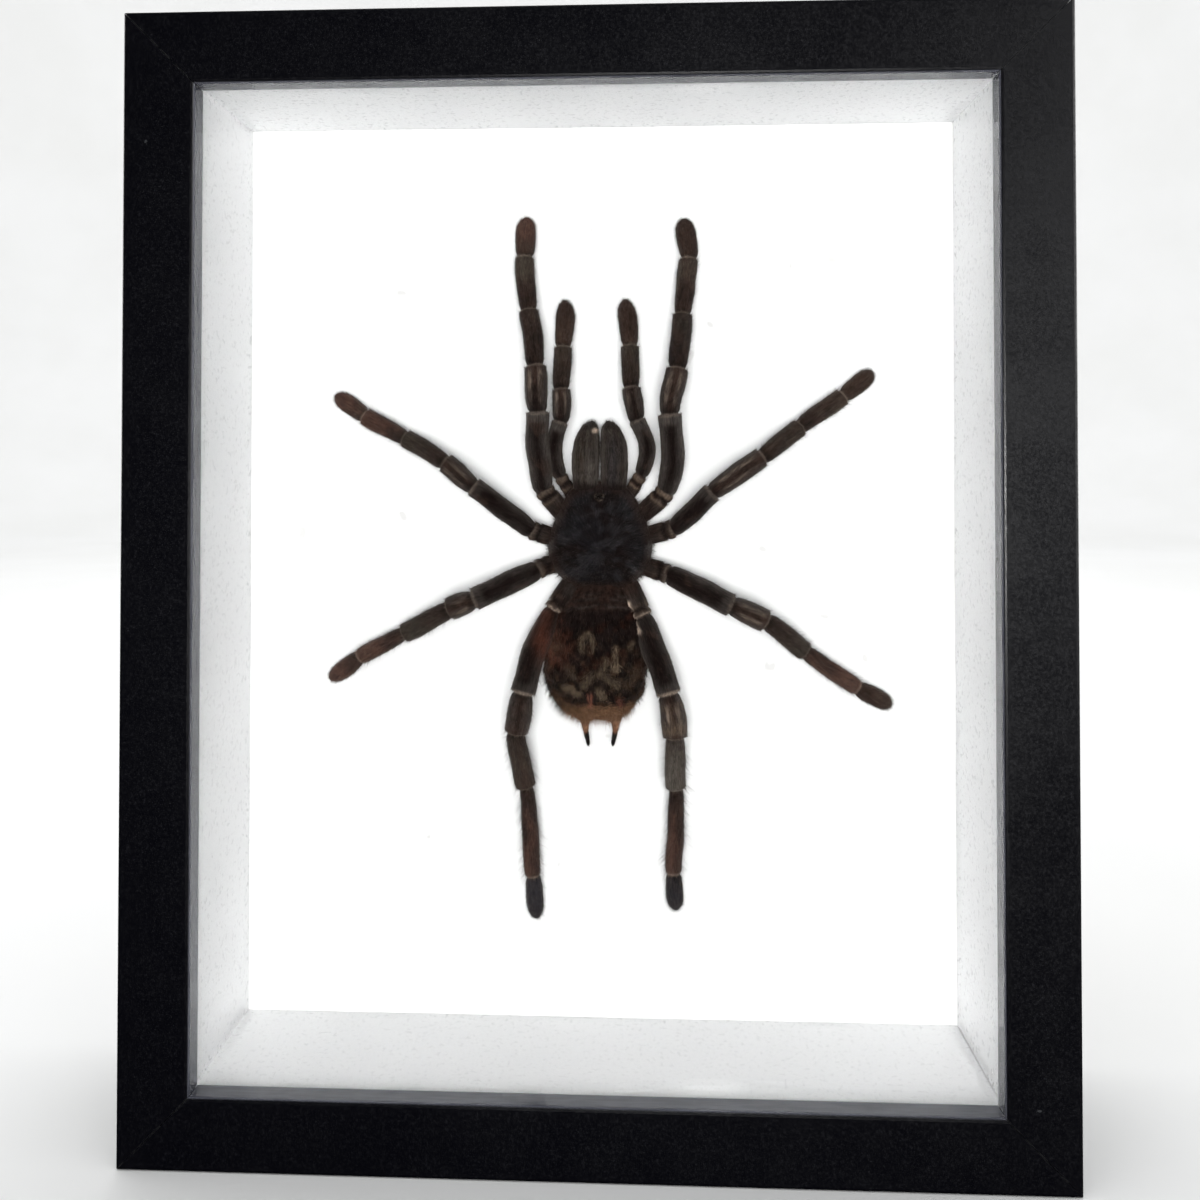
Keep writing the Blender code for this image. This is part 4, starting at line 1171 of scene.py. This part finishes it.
def make_abdomen(material):
    """A dried abdomen: sunken, wrinkled and tufted, red-brown with a tan fringe round the tail."""
    def relief(tube):
        points = tube.points
        wrinkles = 0.034 * waves(points * (0.5, 1.3, 0.7), 6.0, 31) + 0.022 * waves(points, 2.8, 32)
        bulge = 0.10 * spot_at(points, (-13, -25), (4, 5.5))
        dent = 0.07 * spot_at(points, (4, -27), (4, 5)) * (points[..., 2] > 8)
        drift = points[..., 1] + 0.02 * points[..., 0] ** 2 + 0.5 * waves(points, 7.0, 34)
        folds = sum(bump_at(drift, fold, 0.34) for fold in PEDICEL_FOLDS)
        return wrinkles + bulge - dent + 0.007 * waves(points, 1.1, 33) + 0.035 * folds

    inset = [(a, max(h - 0.4, 0.6), low + 0.3, high - 0.5) for a, h, low, high in ABDOMEN_SECTIONS]
    start = inset[0][0]
    tube = section_tube(inset, lambda along: ABDOMEN_LEAN * (start - along), 150, 100, relief)
    points = tube.points
    x, y = points[..., 0], points[..., 1]
    patch = waves(points * (1.0, 0.8, 1.0), 7.0, 34)
    speckle = waves(points, 2.6, 35)
    lower = smoothstep(0.20, 0.75, speckle) * smoothstep(-24, -38, y)
    coat = layered(
        BLACK,
        (DARK, 0.4 + 0.8 * patch),
        (RUST * 0.28, 0.65 * smoothstep(-0.1, 0.8, -patch + 0.4 * speckle)),
        (TAN * 0.40, 0.6 * lower))
    for path, half_width, count, length, colour in ABDOMEN_TUFTS:
        tufted = 0.75 * near_path(points, path, 1.2 * half_width)
        coat = mix(coat, colour * 0.75, tufted * (0.8 + 0.6 * speckle))
    coat = mix(coat, BROWN * 0.7, 0.7 * smoothstep(-20.0, -18.6, y))
    drift = y + 0.02 * x ** 2 + 0.5 * patch
    for fold in PEDICEL_FOLDS:
        coat = mix(coat, GREY * 0.5, (0.3 + 0.25 * patch) * bump_at(drift, fold, 0.30))
    tail = smoothstep(*TAIL_FRINGE, y + TAIL_CURVE * x ** 2 + 0.9 * speckle)
    coat = mix(coat, mix(GOLD * 1.2, RUST * 1.7, 0.2 + 0.3 * patch), 0.9 * tail)
    skin = tube.skin(coat)
    rng = np.random.default_rng(36)
    allowed = 0.12 + 0.88 * smoothstep(-17.0, -20.5, points[:, 0, 1])
    tail_rows = smoothstep(-42, -47, points[:, 0, 1])
    for count, length, lift, width, bends, rows in (
            (9000, 1.3, 0.22, 0.085, 1, allowed),
            (4200, 2.2, 0.38, 0.06, 2, allowed),
            (1800, 3.0, 0.42, 0.045, 2, tail_rows)):
        place = tube.sample(rng, count, rows)
        colour = tube.read(coat, place) * rng.uniform(0.6, 1.6, (count, 1))
        tint = rng.random(count) < 0.06
        colour[tint] = mix(colour[tint], TAN * 0.5, 0.6)
        spot = tube.read(tube.points, place)
        low = smoothstep(-43.4, TAIL_FRINGE[1], spot[:, 1] + TAIL_CURVE * spot[:, 0] ** 2)
        colour = mix(colour, GOLD * rng.uniform(0.6, 1.4, (count, 1)), 0.85 * low)
        lengths = length * rng.uniform(0.55, 1.3, count)
        sway = rng.normal(0, 0.35, (count, 3))
        tube.grow(skin, rng, place, lengths, lift, width, colour, bends, sway)
    for path, half_width, count, length, colour in ABDOMEN_TUFTS:
        grow_tuft(skin, rng, tube, path, half_width, count, length, colour)
    piece = skin.build("abdomen_with_hairs", material)
    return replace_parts(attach(piece, "root"), "abdomen")


def make_chelicera(side, sign, material):
    """A jaw's base: a long dome combed with short hairs, blunt in front, with painted sheen, highlights and
    shade in its coat.
    """
    table = np.array(CHELICERA_SECTIONS)
    inset = [(along, half - 0.08, low + 0.2, high - 0.2) for along, _, half, low, high in CHELICERA_SECTIONS]

    def middle_of(along):
        return sign * np.interp(along, table[:, 0], table[:, 1])

    def relief(tube):
        return 0.02 * waves(tube.points, 4.0, 41) + 0.012 * np.sin(9 * tube.angles)[None, :]

    tube = section_tube(inset, middle_of, 84, 56, relief)
    points = tube.points
    across, y = sign * points[..., 0], points[..., 1]
    streaks = waves(tube.flow * (0.12, 1.0, 1.0), 1.6, 42)
    ribs = 0.5 + 0.5 * np.sin(3.6 * across + 1.2 * waves(points, 8.0, 45))
    # Painted sheen: a grey band on the left jaw; the right jaw gets a darker band instead.
    if side == "right":
        jaw_band = (CHARCOAL * 1.3, 0.60 * bump_at(across, 3.6, 2.0) * smoothstep(30, 24, y))
    else:
        jaw_band = (GREY * 1.1, 0.55 * bump_at(across, 2.2, 1.4) * smoothstep(24, 18, y))
    coat = layered(
        BROWN,
        (OLIVE, 0.45 + 0.5 * streaks),
        (GREY * 0.8, 0.3 + 0.3 * waves(points, 6.0, 43)),
        (DARK, 0.45 * ribs),
        jaw_band,
        # Painted highlights: grey along the outer edge and in a thin line near the inner edge.
        (GREY * 1.2, 0.6 * smoothstep(6.2, 7.2, across) + 0.7 * bump_at(across, 0.75, 0.35)),
        # Painted shade: black in the crease where the two jaws meet.
        (BLACK, 0.85 * smoothstep(0.45, 0.15, across)),
        (DARK, 0.7 * smoothstep(27.5, 30, y)),
        # Painted shade: darker where the jaw runs in under the carapace.
        (DARK, 0.85 * smoothstep(15.4, 13.4, y + 0.5 * streaks)))
    if side == "left":
        spot = np.exp(-((points[..., 0] + 1.2) / 0.8) ** 4 - ((y - 28.3) / 0.6) ** 4)
        coat = mix(coat, PALE * 2.2, 0.95 * spot * (points[..., 2] > 6.5))
    skin = tube.skin(coat)
    rng = np.random.default_rng(44 + (sign > 0))
    for count, length, lift, width, bends in ((4200, 0.85, 0.12, 0.08, 1), (160, 1.2, 0.30, 0.06, 2)):
        place = tube.sample(rng, count, np.ones(tube.rows))
        colour = tube.read(coat, place) * rng.uniform(0.7, 1.6, (count, 1))
        tube.grow(skin, rng, place, length * rng.uniform(0.6, 1.3, count), lift, width, colour, bends)
    piece = skin.build("chelicera_%s_with_hairs" % side, material)
    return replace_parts(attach(piece, "root"), "chelicera_" + side)


def make_fang(side, sign, material):
    """A fang folded back under its jaw."""
    turn = np.linspace(0, 1, 30)
    along = 29.6 - 9.5 * turn
    above = 5.2 - 2.6 * np.sin(turn * math.pi * 0.62)
    across = sign * (3.1 - 0.9 * turn)
    radius = 0.95 * (1 - turn) ** 0.7 + 0.06
    tube = Tube(np.stack((across, along, above), axis=1), radius, radius * 0.9, 18)
    skin = tube.skin(np.broadcast_to(BLACK, tube.points.shape))
    piece = skin.build("fang_" + side, material)
    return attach(piece, "root")


def make_spinneret(side, sign, material):
    """Three short joints, tan at the root and dark at the tip."""
    root = np.array((sign * SPINNERET_ROOT[0], *SPINNERET_ROOT[1:]))
    tip = np.array((sign * SPINNERET_TIP[0], *SPINNERET_TIP[1:]))
    share = np.linspace(0, 1, 44)
    width = np.interp(share, *np.transpose(SPINNERET_WIDTHS)) - 0.2
    sway = 0.18 * np.sin(math.pi * share * 1.5)[:, None] * np.array((sign, 0, 0))
    tube = Tube(root + (tip - root) * share[:, None] + sway, width / 2, width / 2, 20)
    coat = mix(GOLD * 1.2, RUST * 2.0, 0.3 + 0.3 * waves(tube.points, 2.0, 51))
    coat = mix(coat, BLACK * 1.6, smoothstep(0.42, 0.55, share)[:, None] * np.ones(20))
    skin = tube.skin(coat)
    rng = np.random.default_rng(52 + (sign > 0))
    count = 420
    place = tube.sample(rng, count, np.ones(tube.rows))
    colour = tube.read(coat, place) * rng.uniform(0.8, 1.5, (count, 1))
    tube.grow(skin, rng, place, rng.uniform(0.35, 0.9, count), 0.35, 0.06, colour)
    piece = skin.build("spinneret_%s_with_hairs" % side, material)
    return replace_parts(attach(piece, "root"), "spinneret_" + side)


def make_specimen():
    limb_material = coat_look("limb_coat", (0.16, 1.0, 1.0), 2.6, 0.00010)
    for name in LIMBS:
        make_limb(name, limb_material)
    make_prosoma(coat_look("carapace_coat", (0.10, 1.0, 1.0), 3.2, 0.00008, (0.36, 0.58), 0.05))
    make_abdomen(coat_look("abdomen_coat", (0.5, 1.0, 1.0), 1.1, 0.00020, (0.62, 0.85)))
    jaw_material = coat_look("jaw_coat", (0.10, 1.0, 1.0), 2.8, 0.00010)
    spinneret_material = coat_look("spinneret_coat", (0.4, 1.0, 1.0), 2.0, 0.00008)
    fang_material = glossy_black_look("fang_black", (0.010, 0.007, 0.006), 0.16)
    eye_material = glossy_black_look("eye_black", (0.012, 0.009, 0.007), 0.08)
    for side, sign in (("left", -1), ("right", 1)):
        make_chelicera(side, sign, jaw_material)
        make_fang(side, sign, fang_material)
        make_spinneret(side, sign, spinneret_material)
    make_eyes(eye_material)


FLOOR_FLAT = 2.0                   # metres, from the middle to where the floor begins to rise
FLOOR_CURVE = 1.2
FLOOR_TOP = 3.0


def make_floor():
    """A pale floor that curves up far away all round."""
    look = Look("pale_floor", Roughness=0.85, Specular_IOR_Level=0.2)
    cloud = look.noise(look.position(), 3.0, 3.0)
    base = look.mixed(look.spread(cloud), (0.80, 0.80, 0.79), (0.83, 0.83, 0.825))
    look.feed(look.shader.inputs["Base Color"], base)
    turns = np.radians(np.arange(7.5, 91, 7.5))
    rise = np.stack((FLOOR_FLAT + FLOOR_CURVE * np.sin(turns), FLOOR_CURVE * (1 - np.cos(turns))), axis=1)
    flat = [(reach, 0.0) for reach in np.linspace(0, FLOOR_FLAT, 5)[1:]]
    outline = [*flat, *rise, (FLOOR_FLAT + FLOOR_CURVE, FLOOR_TOP)]
    rows, columns = len(outline), 64
    points = [
        (reach * math.cos(turn), reach * math.sin(turn), height)
        for reach, height in outline for turn in math.tau * np.arange(columns) / columns
    ]
    points.append((0.0, 0.0, 0.0))
    faces = grid_faces(rows, columns).tolist() + cap_faces(0, columns, rows * columns, False).tolist()
    mesh = bpy.data.meshes.new("floor")
    mesh.from_pydata(points, [], faces)
    mesh.flip_normals()
    floor = link_mesh(mesh, look.material)
    floor.visible_glossy = False
    floor.visible_transmission = False


def add_area(name, location, target, size, watts, mirrored):
    light = bpy.data.lights.new(name, "AREA")
    light.shape = "RECTANGLE"
    light.size, light.size_y = size
    light.energy = watts
    lamp = link(name, light)
    lamp.location = location
    lamp.rotation_mode = "QUATERNION"
    lamp.rotation_quaternion = (Vector(target) - Vector(location)).to_track_quat("-Z", "Y")
    lamp.visible_glossy = mirrored
    lamp.visible_transmission = mirrored
    return lamp


def light_only(lamp, pieces):
    """Let a lamp light these pieces and nothing else."""
    receivers = bpy.data.collections.new(lamp.name + "_receivers")
    for piece in pieces:
        receivers.objects.link(piece)
    lamp.light_linking.receiver_collection = receivers


def named(*starts):
    """The CAD nodes whose names start so."""
    return [node for name, node in NODES.items() if name.startswith(starts)]


def make_lights():
    floor = bpy.data.objects["floor"]
    pieces = [piece for piece in bpy.data.objects if piece.type == "MESH" and piece != floor]
    mouldings = named("moulding_")
    liners = [bpy.data.objects["liner_%s_card" % side] for side in SIDES]
    behind = named("hanger", "frame_point_", "back_panel")
    middle, foot = (CENTRE_X, 0.0, CENTRE_Z), (0.0, 0.0, 0.0)
    sparkle_at = (CENTRE_X + 0.043, FRONT_Y - 0.235, CENTRE_Z + 0.013)
    # name, place, target, size, watts, whether mirrored, and the pieces lit where that isn't all of them
    lamps = (
        ("front_soft", (CENTRE_X + 0.014, -0.50, 0.156), middle, (0.20, 0.16), 3.5, False, pieces),
        ("key_left", (-1.2, -1.0, 0.75), middle, (0.9, 0.9), 2.0, False, None),
        ("top_soft", (0.0, 0.1, 2.0), foot, (1.4, 1.4), 3.0, True, None),
        ("floor_soft", (0.0, 0.0, 2.4), foot, (3.0, 3.0), 34.0, False, [floor]),
        ("back_soft", (0.0, 0.2, 2.3), (0.0, 3.2, 1.2), (2.4, 1.0), 34.0, False, None),
        ("back_glow", (0.0, 1.6, 0.6), middle, (3.6, 1.4), 14.0, True, behind + mouldings),
        ("side_glow_left", (-1.6, 0.45, 0.5), middle, (0.6, 1.0), 7.0, True, mouldings),
        ("side_glow_right", (1.6, 0.45, 0.5), middle, (0.6, 1.0), 7.0, True, mouldings),
        ("edge_glow", (1.05, -0.9, 0.45), middle, (0.6, 0.9), 4.5, True, mouldings),
        ("sparkle", sparkle_at, middle, (0.02, 0.02), 0.30, True, mouldings + liners),
    )
    for name, place, target, size, watts, mirrored, lit in lamps:
        lamp = add_area(name, place, target, size, watts, mirrored)
        lamp.visible_diffuse = name != "sparkle"
        if lit:
            light_only(lamp, lit)
    world = bpy.data.worlds.new("studio")
    world.use_nodes = True
    world.node_tree.nodes["Background"].inputs["Color"].default_value = (0.95, 0.97, 1.0, 1.0)
    world.node_tree.nodes["Background"].inputs["Strength"].default_value = 0.62
    bpy.context.scene.world = world
    world.cycles_visibility.glossy = False
    world.cycles_visibility.transmission = False
    bpy.context.scene.view_settings.view_transform = "Standard"


CAMERA_OFFSET = Vector((11.8, -234.5, 30.2)) * MM      # from the middle of the frame's front face
CAMERA_AIM = Vector((-0.0406, 0.999, 0.0147))
CAMERA_SHIFT = -0.129


def make_camera():
    data = bpy.data.cameras.new("camera")
    data.lens = 30.0
    data.sensor_width = 36.0
    data.shift_y = CAMERA_SHIFT
    data.clip_start = 0.01
    camera = link("camera", data)
    camera.location = Vector((CENTRE_X, FRONT_Y, CENTRE_Z)) + CAMERA_OFFSET
    camera.rotation_mode = "QUATERNION"
    camera.rotation_quaternion = CAMERA_AIM.to_track_quat("-Z", "Y")
    bpy.context.scene.camera = camera


make_camera()
dress_frame()
make_specimen()
make_floor()
make_lights()
